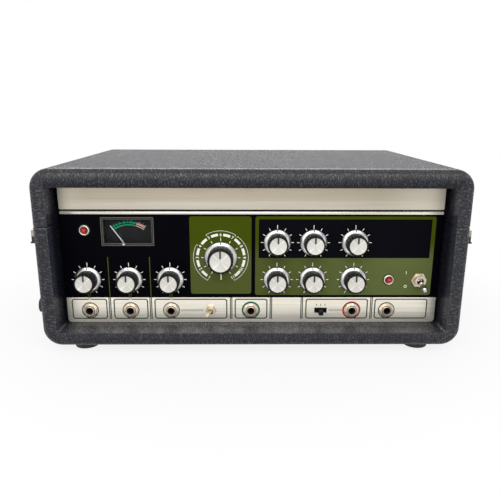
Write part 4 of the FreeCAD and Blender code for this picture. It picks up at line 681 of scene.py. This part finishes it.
def finished(name, bm, finishes, body="unit", stands_for=(), crease=32.0,
             move=(0, 0, 0)):
    """Turns a mesh in millimetres into a piece that rides on a body."""
    shift(bm, bm.verts, move)
    bmesh.ops.transform(bm, matrix=TO_ROOM, verts=bm.verts)
    bmesh.ops.recalc_face_normals(bm, faces=bm.faces)
    mesh = bpy.data.meshes.new(name)
    bm.to_mesh(mesh)
    bm.free()
    for finish in finishes:
        mesh.materials.append(finish)
    mesh.shade_smooth()
    mesh.set_sharp_from_angle(angle=math.radians(crease))
    piece = placed(name, mesh)
    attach(piece, body)
    if stands_for:
        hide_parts(*stands_for)
    return piece


def printed(name, bm, finish):
    """A piece printed on the panel."""
    finished(name, bm, [finish])


def smoothed(node, finish, body="unit"):
    """A merged, smoothly shaded copy of a CAD node, which it stands for."""
    bm = bmesh.new()
    bm.from_mesh(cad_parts[node].data)
    bmesh.ops.remove_doubles(bm, verts=bm.verts, dist=2e-6)
    bmesh.ops.dissolve_limit(bm, angle_limit=math.radians(0.5), verts=bm.verts, edges=bm.edges)
    bmesh.ops.transform(bm, matrix=TO_ROOM.inverted(), verts=bm.verts)
    weigh_normals(finished(f"{node}_surface", bm, [finish], body, (node,)))


def weigh_normals(piece):
    """Large flat faces keep their own direction beside small rounded ones."""
    modifier = piece.modifiers.new("flat_faces_first", "WEIGHTED_NORMAL")
    modifier.keep_sharp = True


# ---- the case
def at_height(edge_or_face, axis, value):
    return all(abs(vert.co[axis] - value) < 0.01 for vert in edge_or_face.verts)


def faces_at(bm, y, half=1e3, z=(-1e3, 1e3)):
    """The faces that lie at one y, with their middle within limits in x and z."""
    middles = ((face, face.calc_center_median()) for face in bm.faces if at_height(face, 1, y))
    return [face for face, spot in middles if abs(spot.x) < half and z[0] < spot.z < z[1]]


def window_face(bm, y, half, z):
    """Cuts a rectangle out of the flat faces at one y, and gives its face."""
    for axis, value in ((0, -half), (0, half), (2, z[0]), (2, z[1])):
        spot, normal = [0, 0, 0], [0, 0, 0]
        spot[axis], normal[axis] = value, 1
        geometry = set(faces_at(bm, y))
        for face in list(geometry):
            geometry.update(face.edges, face.verts)
        bmesh.ops.bisect_plane(bm, geom=list(geometry), plane_co=spot, plane_no=normal, dist=1e-4)
    return faces_at(bm, y, half, z)


def sink(bm, faces, depth):
    """Pushes faces back into the case, and leaves the hole they stood in open."""
    push(bm, faces, (0, depth, 0))
    bmesh.ops.delete(bm, geom=faces, context="FACES")


def whole_case():
    """The case before it is sawn: walls, rounded edges, recess and rear opening."""
    bm = bmesh.new()
    block(bm, (-HALF, HALF), (0, DEPTH), (0, HEIGHT), CORNER, 12)
    bevel(bm, [e for e in bm.edges if at_height(e, 1, 0) or at_height(e, 1, DEPTH)], RIM, 7)
    front = faces_at(bm, 0.0)
    wall = HALF - INNER_HALF
    bmesh.ops.inset_region(bm, faces=front, thickness=wall - RIM, use_even_offset=True)
    for vert in front[0].verts:
        if vert.co.z > SEAM:
            vert.co.z -= HEIGHT - ROOF - wall
    sink(bm, front, INNER_BACK)
    sink(bm, window_face(bm, DEPTH, REBATE_HALF, REBATE_Z), -REBATE_DEPTH)
    ends = [face for y in (DEPTH - REBATE_DEPTH, INNER_BACK)
            for face in window_face(bm, y, VENT_HALF, VENT_Z)]
    loops = [edge for face in ends for edge in face.edges]
    bmesh.ops.delete(bm, geom=ends, context="FACES_ONLY")
    bmesh.ops.bridge_loops(bm, edges=loops)
    bmesh.ops.recalc_face_normals(bm, faces=bm.faces)
    return bm


def sawn(z, keep_below):
    """One side of the case, its cut closed and the covering's turned edge softened."""
    bm = whole_case()
    cut = bmesh.ops.bisect_plane(bm, geom=[*bm.verts, *bm.edges, *bm.faces], dist=1e-4,
                                 plane_co=(0, 0, z), plane_no=(0, 0, 1), clear_outer=keep_below,
                                 clear_inner=not keep_below)["geom_cut"]
    bmesh.ops.holes_fill(bm, edges=only(bmesh.types.BMEdge, cut), sides=0)
    bevel(bm, [edge for edge in bm.edges if at_height(edge, 2, z)], TURNED_EDGE, 3)
    return bm


def case(vinyl):
    for name, bm, body, node in (
            ("case_covering", sawn(SEAM, True), "unit", "lower_case"),
            ("lid_covering", sawn(SEAM + SEAM_GAP, False), "lid", "lid_shell")):
        weigh_normals(finished(name, bm, [vinyl], body, (node,)))


# ---- knobs
def knob(name, centre, skirt, grip, cap, finishes):
    """Spun skirt, fluted grip, turned cap with its pointer, and the dark mark on the skirt."""
    base, shoulder, top = 0.6, 4.0, 16.0
    flutes, points, flute_depth = 18, 8, 0.8
    bm = bmesh.new()
    turned(bm, [(0, base), (skirt - 0.25, base), (skirt, base + 0.25), (skirt, base + 0.75),
                (skirt - 0.3, base + 1.3), (skirt - 0.9, base + 1.85), (skirt - 1.7, base + 2.35),
                (skirt - 2.5, base + 2.7), (grip + 0.1, base + 2.85), (grip - 1.2, shoulder - 0.6),
                (0, shoulder - 0.6)], 72, 0)

    before = set(bm.verts)
    rim = bmesh.ops.create_circle(bm, cap_ends=True, radius=1.0, segments=flutes * points)["verts"]
    rotate(bm, rim, 90, "X")
    for vert in rim:
        around = math.atan2(vert.co.x, vert.co.z)
        vert.co *= grip - flute_depth * max(0.0, math.cos(around * flutes)) ** 3
        vert.co.y = 0.7 - shoulder
    seat = [face for face in faces_of(rim) if all(vert in rim for vert in face.verts)]
    for rise, inset in ((top - shoulder, 0.0), (0.55, 0.45), (0.1, 0.6)):
        seat, ring = push(bm, seat, (0, -rise, 0))
        for vert in ring:
            vert.co.x *= 1 - inset / grip
            vert.co.z *= 1 - inset / grip
    for face in faces_of(fresh(bm.verts, before)):
        face.material_index = 1

    turned(bm, [(0, top - 0.2), (cap, top - 0.2), (cap, top + 0.55), (cap - 0.25, top + 0.8),
                (cap - 0.7, top + 0.74), (0, top + 0.66)], 72, 2)
    pointer = block(bm, (-0.85, 0.85), (-(top + 0.84), -(top + 0.3)), (cap * 0.3, cap + 0.1))
    mark = block(bm, (-0.6, 0.6), (-0.15, 0.15), (-1.0, 1.0))
    rotate(bm, mark, -33, "X")
    shift(bm, mark, (0, -(base + 2.5), skirt - 1.75))
    for face in faces_of([*pointer, *mark]):
        face.material_index = 3
    chart = bm.loops.layers.uv.new("from_centre")
    for face in bm.faces:
        for loop in face.loops:
            loop[chart].uv = (0.5 + loop.vert.co.x / CHART, 0.5 + loop.vert.co.z / CHART)
    finished(f"{name}_turned", bm, finishes, name, (name,), 40.0,
             (centre[0], FACE, centre[1]))


# ---- prints on the panel
def numeral(bm, text, radius, angle, height):
    """A plain number on the selector's dial, upright towards the dial's rim."""
    curve = bpy.data.curves.new("numeral", "FONT")
    curve.body = text
    curve.size = height * 1.38
    curve.align_x = "CENTER"
    curve.align_y = "CENTER"
    curve.offset = 0.1
    curve.resolution_u = 4
    holder = placed("numeral", curve)
    bpy.context.view_layer.update()
    outline = bpy.data.meshes.new_from_object(holder)
    bpy.data.objects.remove(holder)
    before_verts, before_faces = set(bm.verts), set(bm.faces)
    bm.from_mesh(outline)
    bpy.data.meshes.remove(outline)
    bmesh.ops.remove_doubles(bm, verts=fresh(bm.verts, before_verts), dist=1e-4)
    verts = fresh(bm.verts, before_verts)
    rotate(bm, verts, 90, "X")
    shift(bm, verts, (0, FACE, radius))
    rotate(bm, verts, angle)
    shift(bm, verts, (MODE[0], 0, MODE[1]))
    thicken(bm, fresh(bm.faces, before_faces), SCALES)


def dial_prints(white):
    """Scales round the small knobs, the selector's ring of numbers and the power switch's signs."""
    bm = bmesh.new()
    angles = [DIAL_START + DIAL_STEP * step for step in range(DIAL_STEPS)]
    for centre in KNOBS.values():
        for angle in angles:
            ray(bm, centre, 13.9, 16.5 if angle else 17.8, angle, 0.64, SCALES)
    for step, angle in enumerate(angles):
        ray(bm, MODE, 17.2, 19.6 if angle else 20.6, angle, 0.7, SCALES)
        numeral(bm, str(step + 1), 23.6, angle, 3.0)
        if step < DIAL_STEPS - 1:
            arc(bm, MODE, 22.3, 24.9, angle + 6.3, angle + 23.7, SCALES)
    for start, end in ((-150, -61), (-32, 33), (38, 150)):
        arc(bm, MODE, 27.45, 27.8, start, end, SCALES)
        for angle in (start, end):
            ray(bm, MODE, 26.3, 27.9, angle, 0.5, SCALES)
    ray(bm, MODE, 17.3, 23.4, 180, 1.1, SCALES)
    sign_x, sign_rise = POWER[0] - 12.8, 7.4
    ray(bm, (sign_x, POWER[1] + sign_rise), -1.4, 1.4, 0, 0.6, SCALES)
    arc(bm, (sign_x, POWER[1] - sign_rise), 0.95, 1.5, 0, 360, SCALES)
    printed("dial_scales", bm, white)


def bead_and_groove(bright, black):
    """A polished strip along the bead and the black lines over and under it."""
    width = (-BEAD_HALF, BEAD_HALF)
    bm = bmesh.new()
    block(bm, width, (25.35, 27.0), BEAD_Z)
    bevel(bm, list(bm.edges), 0.28, 3)
    finished("bead_strip", bm, [bright])
    bm = bmesh.new()
    for z in ((BEAD_Z[1] + 0.05, 133.85), (128.3, BEAD_Z[0] - 0.15)):
        block(bm, width, (GROOVES, FACE), z)
    printed("groove_line", bm, black)


def colour_fields(green, black):
    bm = bmesh.new()
    plate(bm, (-62.4, -0.8), (46.3, 127.0), FIELDS, 2.5)
    plate(bm, (3.1, 183.0), (44.9, 127.0), FIELDS, 2.5)
    for x in (-145.2, -103.3):
        upright(bm, x, 0.8, (STRIP_TOP, 85.3), FIELDS)
    for x in INPUTS:
        for side in (-1.0, 1.0):
            upright(bm, x + side, 0.7, (STRIP_TOP - 1.6, 49.0), FIELDS)
    printed("green_fields", bm, green)
    bm = bmesh.new()
    plate(bm, (6.5, 179.0), (84.3, 124.0), RINGS, 1.0)
    printed("inner_black_field", bm, black)


def socket_prints(dark_green, white, grey, green_ring, red_ring):
    """Outlines, arrows, links and rings on the strip of sockets; the dark rings round the nuts and
    lamps are painted shadow.
    """
    bm = bmesh.new()
    for x in ((-184.8, -148.6), (-142.1, -106.7), (-100.2, -25.4), (-17.8, 16.0), (55.3, 119.8),
              (126.6, 181.4)):
        plate(bm, x, (19.0, 40.9), LINES, 2.8, 4, 1.15)
    for x in (-145.8, -103.9, -21.4, 19.6, 51.4, 123.4):
        for side in (-0.75, 0.75):
            upright(bm, x + side, 0.96, (18.8, STRIP_TOP), LINES)
    for side in (-4.5, 0.0, 4.5):
        upright(bm, LEVEL_SWITCH + side, 0.72, (33.3, 35.3), LINES)
    printed("socket_outlines", bm, dark_green)

    bm = bmesh.new()
    for x in INPUTS:
        tip = bmesh.ops.create_circle(bm, cap_ends=True, radius=2.1, segments=3)["verts"]
        rotate(bm, tip, 90, "X")
        bmesh.ops.scale(bm, vec=(1, 1, 0.8), verts=tip)
        shift(bm, tip, (x, FACE, 41.0))
        thicken(bm, faces_of(tip), FACE - 0.14)
    printed("socket_arrows", bm, white)

    bm = bmesh.new()
    for span in ((-73.5, -50.0), (79.5, 93.6)):
        for rise in (-0.9, -0.3, 0.3, 0.9):
            z = JACK_ROW + rise
            block(bm, span, (LINES, FACE), (z - 0.16, z + 0.16))
    printed("socket_links", bm, grey)

    # painted shadow: dark rings round the socket nuts and lamp bezels
    bm = bmesh.new()
    for x in JACKS:
        arc(bm, (x, JACK_ROW), 7.6, 8.65, 0, 360, RINGS)
    for centre in LAMPS:
        arc(bm, centre, 5.3, 6.05, 0, 360, FACE - 0.11)
    printed("washer_shadow_rings", bm, dark_green)
    for name, x, colour in (("return", JACKS[3], green_ring), ("output", JACKS[4], red_ring)):
        bm = bmesh.new()
        arc(bm, (x, JACK_ROW), 8.1, 9.5, 0, 360, LINES)
        printed(f"{name}_socket_ring", bm, colour)


# ---- fittings on the panel
def lamps(bezel_metal, well_dark, lens_red):
    """The two lamps: bezel, dark well and domed lens."""
    for name, finish, slot, node, steps, profile in (
            ("lamp_rings", bezel_metal, "nickel", ("lamp_bezels",), 48,
             [(3.6, -8.0), (4.2, -8.0), (4.2, 0.0), (5.7, 0.0), (5.7, 0.5), (5.45, 1.3),
              (4.9, 1.95), (4.45, 2.15), (4.0, 2.05), (3.65, 1.6), (3.6, -8.0)]),
            ("lamp_wells", well_dark, "nickel", (), 48,
             [(2.7, -8.0), (3.65, -8.0), (3.65, 1.5), (3.2, 1.25), (2.9, 1.3), (2.7, 1.3),
              (2.7, -8.0)]),
            ("lamp_domes", lens_red, "red_lens", ("lamp_lenses",), 36,
             [(0, -13.8), (2.8, -13.8), (2.8, 1.6), (2.65, 2.6), (2.2, 3.7), (1.5, 4.4),
              (0.75, 4.7), (0, 4.78)])):
        bm = bmesh.new()
        for centre in LAMPS:
            turned(bm, profile, steps, at=centre)
        finished(name, bm, [finish], stands_for=node, crease=50.0)


def hex_nut(bm, x, z, corner, height, bore, start):
    """A six-sided nut, its front corners turned down: a spun ring cut back to six flats."""
    flat = corner * math.cos(math.pi / 6)
    made = turned(bm, [(bore, 0), (corner, 0), (corner, height - 0.75),
                       (corner - 0.3, height - 0.5), (corner - 0.6, height - 0.3),
                       (flat - 0.1, height - 0.06), (flat - 0.35, height), (bore, height),
                       (bore, 0)], 72)
    for vert in made:
        reach = math.hypot(vert.co.x, vert.co.z)
        bearing = math.atan2(vert.co.x, vert.co.z) % (math.pi / 3) - math.pi / 6
        limit = min(1.0, flat / math.cos(bearing) / reach)
        vert.co.x *= limit
        vert.co.z *= limit
    rotate(bm, made, start)
    shift(bm, made, (x, FACE, z))


def jack_fittings(nickel, brown, black):
    """Washer and hexagonal nut, the barrel's rolled lip and the dark bore of each socket."""
    nuts, lips, bores = bmesh.new(), bmesh.new(), bmesh.new()
    for index, x in enumerate(JACKS):
        spot = (x, JACK_ROW)
        turned(nuts, [(4.9, 0), (7.9, 0), (7.9, 0.35), (7.75, 0.55), (4.9, 0.55), (4.9, 0)], 60,
               at=spot)
        hex_nut(nuts, *spot, 7.6, 2.4, 5.35, 9.0 + 17.0 * index)
        turned(lips, [(4.15, 2.3), (4.85, 2.3), (4.85, 3.1), (4.7, 3.4), (4.45, 3.5),
                      (4.15, 3.42), (4.15, 2.3)], 48, at=spot)
        turned(lips, [(3.6, 1.2), (4.2, 1.2), (4.2, 3.38), (4.05, 3.4), (3.6, 3.3), (3.6, 1.2)],
               48, 1, spot)
        turned(bores, [(3.05, -18), (3.15, -18), (3.15, 3.22), (3.65, 3.22), (3.65, 3.29),
                       (3.3, 3.26), (3.05, 3.0), (3.05, -18)], 36, at=spot)
        turned(bores, [(4.8, 1.2), (5.4, 1.2), (5.4, 2.25), (4.8, 2.25), (4.8, 1.2)], 48, at=spot)
    finished("jack_hex_nuts", nuts, [nickel], stands_for=("jack_nuts",),
             crease=28.0)
    finished("socket_lips", lips, [nickel, brown], crease=50.0)
    finished("socket_bores", bores, [black], crease=50.0)


def level_grip(black):
    """The slide switch's ribbed grip in front of its frame."""
    bm = bmesh.new()
    block(bm, (LEVEL_SWITCH - 2.3, LEVEL_SWITCH + 2.3), (22.2, 27.3), (24.6, 29.4), 0.5, 3)
    for side in (-1.2, 0.0, 1.2):
        x = LEVEL_SWITCH + side
        block(bm, (x - 0.25, x + 0.25), (21.9, 22.4), (25.0, 29.0))
    finished("level_slider_grip", bm, [black], "level_switch")


def meter_details(green, red, nickel, edge_highlight):
    """Scales on the dial plate, painted highlights along the bezel's edges and the small zero
    screw.
    """
    dial = (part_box("meter_dial")[0].y - CASE.y) / MM - FACE
    for name, finish, bands, marks, mark_end in (
            ("meter_green_scale", green,
             [(28.2, 29.7, *span) for span in (
                 (-33, -28.5), (-27, -22.5), (-20.5, -14.5), (-12, -5.5), (-3.8, -0.6),
                 (1.0, 15.2))] + [(25.8, 27.0, -33, 15.8)],
             (-29, -24, -17.5, -9, -2, 6), 31.5),
            ("meter_red_scale", red,
             [(29.2, 29.8, 15.8, 34.5), (27.8, 28.8, 15.8, 34.5), (26.0, 26.7, 16.4, 35.5)],
             (22, 28, 34), 31.3)):
        bm = bmesh.new()
        for inner, outer, start, end in bands:
            arc(bm, SCALE_CENTRE, inner, outer, start, end, LINES)
        for angle in marks:
            ray(bm, SCALE_CENTRE, 30.3, mark_end, angle, 0.35, LINES)
        finished(name, bm, [finish], move=(0, dial, 0))
    # painted highlight: pale lines along the bezel's edges
    bm = bmesh.new()
    plate(bm, (-149.75, -97.65), (97.15, 126.05), BEZEL_EDGES, 0.6, 3, 0.55)
    plate(bm, (-147.95, -99.45), (98.95, 124.25), BEZEL_EDGES, 0.3, 3, 0.35)
    finished("meter_bezel_edges", bm, [edge_highlight])
    bm = bmesh.new()
    turned(bm, [(0, -0.2), (1.25, -0.2), (1.25, 0.35), (1.0, 0.6), (0, 0.6)], 24)
    finished("meter_zero_screw", bm, [nickel], move=(-127.85, FACE - 1.5, 98.7))


def screw(heads, slots, place, outwards):
    """A raised screw head and a dark bar of painted shade for its slot, turned from facing the
    front to facing outwards.
    """
    head = turned(heads, [(0, -0.6), (2.3, -0.6), (2.3, 0.25), (2.1, 0.6), (1.5, 0.95),
                          (0.8, 1.12), (0, 1.16)], 24)
    # painted shade: a dark bar stands for the slot
    slot = block(slots, (-1.7, 1.7), (-1.17, -0.7), (-0.22, 0.22))
    for bm, made in ((heads, head), (slots, slot)):
        rotate(bm, made, sum(place))
        rotate(bm, made, outwards, "Z")
        shift(bm, made, place)


def fitting_screws(metal, dark):
    """Screws that hold the handle's end caps, both leaves of the hinges and the latch strikes."""
    leaf_y = DEPTH + HINGE_LEAF
    leaf_x = [side * HINGE_X + x for side in (-1, 1) for x in (-17.0, 0.0, 17.0)]
    case_screws = [((HALF + 9.0, y, z), 90) for y in (62.0, 208.0) for z in (53.0, 71.0)]
    case_screws += [((x, leaf_y, 103.5), 180) for x in leaf_x]
    lid_screws = [((x, leaf_y, 139.0), 180) for x in leaf_x]
    lid_screws += [((side * (HALF + 1.3), y, 131.0), side * 90)
                   for side in (-1, 1) for y in (26.0, 40.0)]
    for name, body, places in (("case", "unit", case_screws), ("lid", "lid", lid_screws)):
        heads, slots = bmesh.new(), bmesh.new()
        for place, outwards in places:
            screw(heads, slots, place, outwards)
        finished(f"{name}_screw_heads", heads, [metal], body, crease=50.0)
        finished(f"{name}_screw_slot_shade", slots, [dark], body)


# ---- room, dressing and hand-over
def room():
    """A white floor that keeps the shadow near the unit and fades to plain white further out."""
    bm = bmesh.new()
    bmesh.ops.create_grid(bm, x_segments=1, y_segments=1, size=FLOOR_HALF)
    mesh = bpy.data.meshes.new("studio_floor")
    bm.to_mesh(mesh)
    bm.free()
    floor = placed("studio_floor", mesh)
    f = Finish("studio_white", Base_Color=(0.9, 0.9, 0.9), Roughness=0.9, Specular_IOR_Level=0.0)
    reach = f.node("ShaderNodeVectorMath", {"operation": "LENGTH"}, [f.place((1, 1.25, 0))],
                   "Value")
    plain = f.ease(reach, 0.23, 0.42, 0.84, 1.0)
    glow = f.node("ShaderNodeEmission", {}, {"Color": (1.0, 1.0, 1.0), "Strength": 1.0})
    body = Wire(f, f.shader.outputs[0])
    both = f.node("ShaderNodeMixShader", {}, [f.white_rays() * plain, body, glow])
    f.fill(f.tree.nodes["Material Output"].inputs["Surface"], both)
    mesh.materials.append(f.material)

    world = bpy.data.worlds.new("studio_world")
    world.use_nodes = True
    bpy.context.scene.world = world
    sky = Graph(world.node_tree)
    lit = sky.tree.nodes["Background"]
    sky.fill(lit.inputs["Color"], (0.98, 0.99, 1.0))
    sky.fill(lit.inputs["Strength"], 0.5)
    white = sky.node("ShaderNodeBackground", {}, {"Color": (1.0, 1.0, 1.0)})
    both = sky.node("ShaderNodeMixShader", {}, [sky.white_rays(), Wire(sky, lit.outputs[0]), white])
    sky.fill(sky.tree.nodes["World Output"].inputs["Surface"], both)
    soft_lamp("top_softbox", (0.0, -1.0, 0.95), (0.0, 0.0, 0.12), (1.6, 0.45), 10.0)
    soft_lamp("front_softbox", (-0.1, -1.5, 0.42), (0.0, -0.1, 0.1), (1.2, 0.7), 5.5)
    soft_lamp("rear_softbox", (0.0, 2.0, 0.9), (0.0, 0.1, 0.15), (2.2, 0.9), 17.0)
    bpy.context.scene.view_settings.view_transform = "Standard"


def dress(finish, *nodes):
    """Gives CAD nodes a finish."""
    for name in nodes:
        for material_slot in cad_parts[name].material_slots:
            material_slot.material = finish


photographer()
room()
case(grained_vinyl())

cream, warm_cream = (0.80, 0.76, 0.66), (0.80, 0.735, 0.61)
dress(brushed("panel_aluminium", cream, 1.2, 0.34, True), "front_panel")
dress(brushed("trim_aluminium", warm_cream, 0.63, 0.38), "header_trim")
nickel = plated("nickel_plate", (0.72, 0.69, 0.64), 0.22, 0.35)
chrome = plated("bright_chrome", (0.80, 0.80, 0.80), 0.08, 0.12)
warm_nickel = plated("worn_nickel", (0.74, 0.64, 0.52), 0.28, 0.6)

knob_finishes = [
    spun_metal(),
    moulded("fluted_grip", (0.008, 0.007, 0.006), 0.42, gloss=0.15),
    turned_cap(),
    moulded("pointer_paint", (0.008, 0.008, 0.009), 0.4),
]
for knob_name, spot in KNOBS.items():
    knob(knob_name, spot, 13.8, 10.3, 8.4, knob_finishes)
knob("mode_selector_knob", MODE, 16.8, 12.9, 10.5, knob_finishes)

white_ink = ink("white_ink", (0.78, 0.77, 0.70), 0.06)
black_ink = ink("field_black", (0.0015, 0.0015, 0.0034), 0.3, gloss=0.03)
dial_prints(white_ink)
colour_fields(field_green(), black_ink)
bead_and_groove(brushed("bead_aluminium", cream, 0.98, 0.25), black_ink)
socket_prints(ink("outline_green", (0.016, 0.030, 0.016), 0.2), white_ink,
              ink("link_grey", (0.30, 0.29, 0.26), 0.1),
              ink("ring_green", (0.010, 0.190, 0.105), 0.1),
              ink("ring_red", (0.62, 0.035, 0.030), 0.1))

switch_black = moulded("switch_black", (0.007, 0.007, 0.008), 0.4, gloss=0.15)
lamps(plated("lamp_nickel", (0.66, 0.62, 0.54), 0.25, 0.5),
      plated("well_brown", (0.13, 0.10, 0.075), 0.4, 0.4), ruby())
jack_fittings(warm_nickel, plated("worn_barrel", (0.24, 0.165, 0.095), 0.35, 0.6), switch_black)
level_grip(switch_black)
dress(two_part("socket_parts", (0.60, 0.54, 0.44), (0.006, 0.006, 0.006), FACE - 2.6),
      "jack_sockets")
dress(two_part("toggle_parts", (0.60, 0.53, 0.43), (0.012, 0.012, 0.014), FACE + 2.0,
               ((*POWER, 3.1), (ECHO_SWITCH, JACK_ROW, 2.6))), "toggle_switch_bodies")
smoothed("power_lever", plated("lever_chrome", (0.60, 0.60, 0.62), 0.2, 0.1),
         "power_switch")
smoothed("echo_lever", moulded("cream_plastic", (0.72, 0.60, 0.36), 0.35),
         "echo_switch")
dress(switch_black, "level_switch_frame", "level_slider", "rear_fittings")

dress(painted("meter_bezel_paint", (0.024, 0.024, 0.021), 0.42, 0.1), "meter_housing")
dress(ink("dial_face", (0.010, 0.0105, 0.012), 0.2, 0.48), "meter_dial")
dress(ink("needle_paint", (0.86, 0.86, 0.84), 0.05), "meter_needle")
dress(clear_pane(), "meter_window", "tape_window")
meter_details(ink("scale_green", (0.002, 0.42, 0.18), 0.1),
              ink("scale_red", (0.92, 0.58, 0.48), 0.1), nickel,
              painted("bezel_edge_highlight", (0.105, 0.100, 0.086), 0.4, 0.2))

rubber = moulded("foot_rubber", (0.012, 0.012, 0.013), 0.62, 700.0, 0.00008)
smoothed("rubber_feet", rubber)
dress(rubber, "drive_belt", "pinch_roller")
smoothed("handle_strap", strap_vinyl())
aged_nickel = plated("aged_nickel", (0.25, 0.225, 0.185), 0.32, 0.6)
for node in ("handle_caps", "hinge_case_leaves", "latch_bases"):
    smoothed(node, aged_nickel)
for node in ("hinge_lid_leaves", "latch_strikes"):
    smoothed(node, aged_nickel, "lid")
latch_metal = latch_plating()
for side in ("left", "right"):
    smoothed(f"{side}_latch_lever", latch_metal, f"{side}_lever")
    smoothed(f"{side}_latch_claw", aged_nickel, f"{side}_claw")
fitting_screws(chrome, switch_black)

dress(zinc_sheet(), "chassis", "control_bodies", "deck_plate", "pinch_arm", "reverb_tank")
dress(painted("back_enamel", (0.020, 0.020, 0.021), 0.45), "back_panel")
dress(chrome, "case_screws", "window_thumbscrews")
dress(plated("turned_steel", (0.62, 0.62, 0.62), 0.18, 0.15), "flywheel", "tape_guides")
dress(plated("head_metal", (0.52, 0.50, 0.47), 0.25, 0.3), "tape_heads")
dress(plated("brass", (0.66, 0.47, 0.20), 0.22, 0.3), "motor_pulley")
dress(painted("motor_enamel", (0.22, 0.23, 0.225), 0.38), "drive_motor")
dress(moulded("tank_black", (0.014, 0.014, 0.015), 0.4), "tape_tank")
dress(tape_film(), "tape_loop")
dress(laminated_core(), "power_transformer")
dress(board_material(), "circuit_boards")
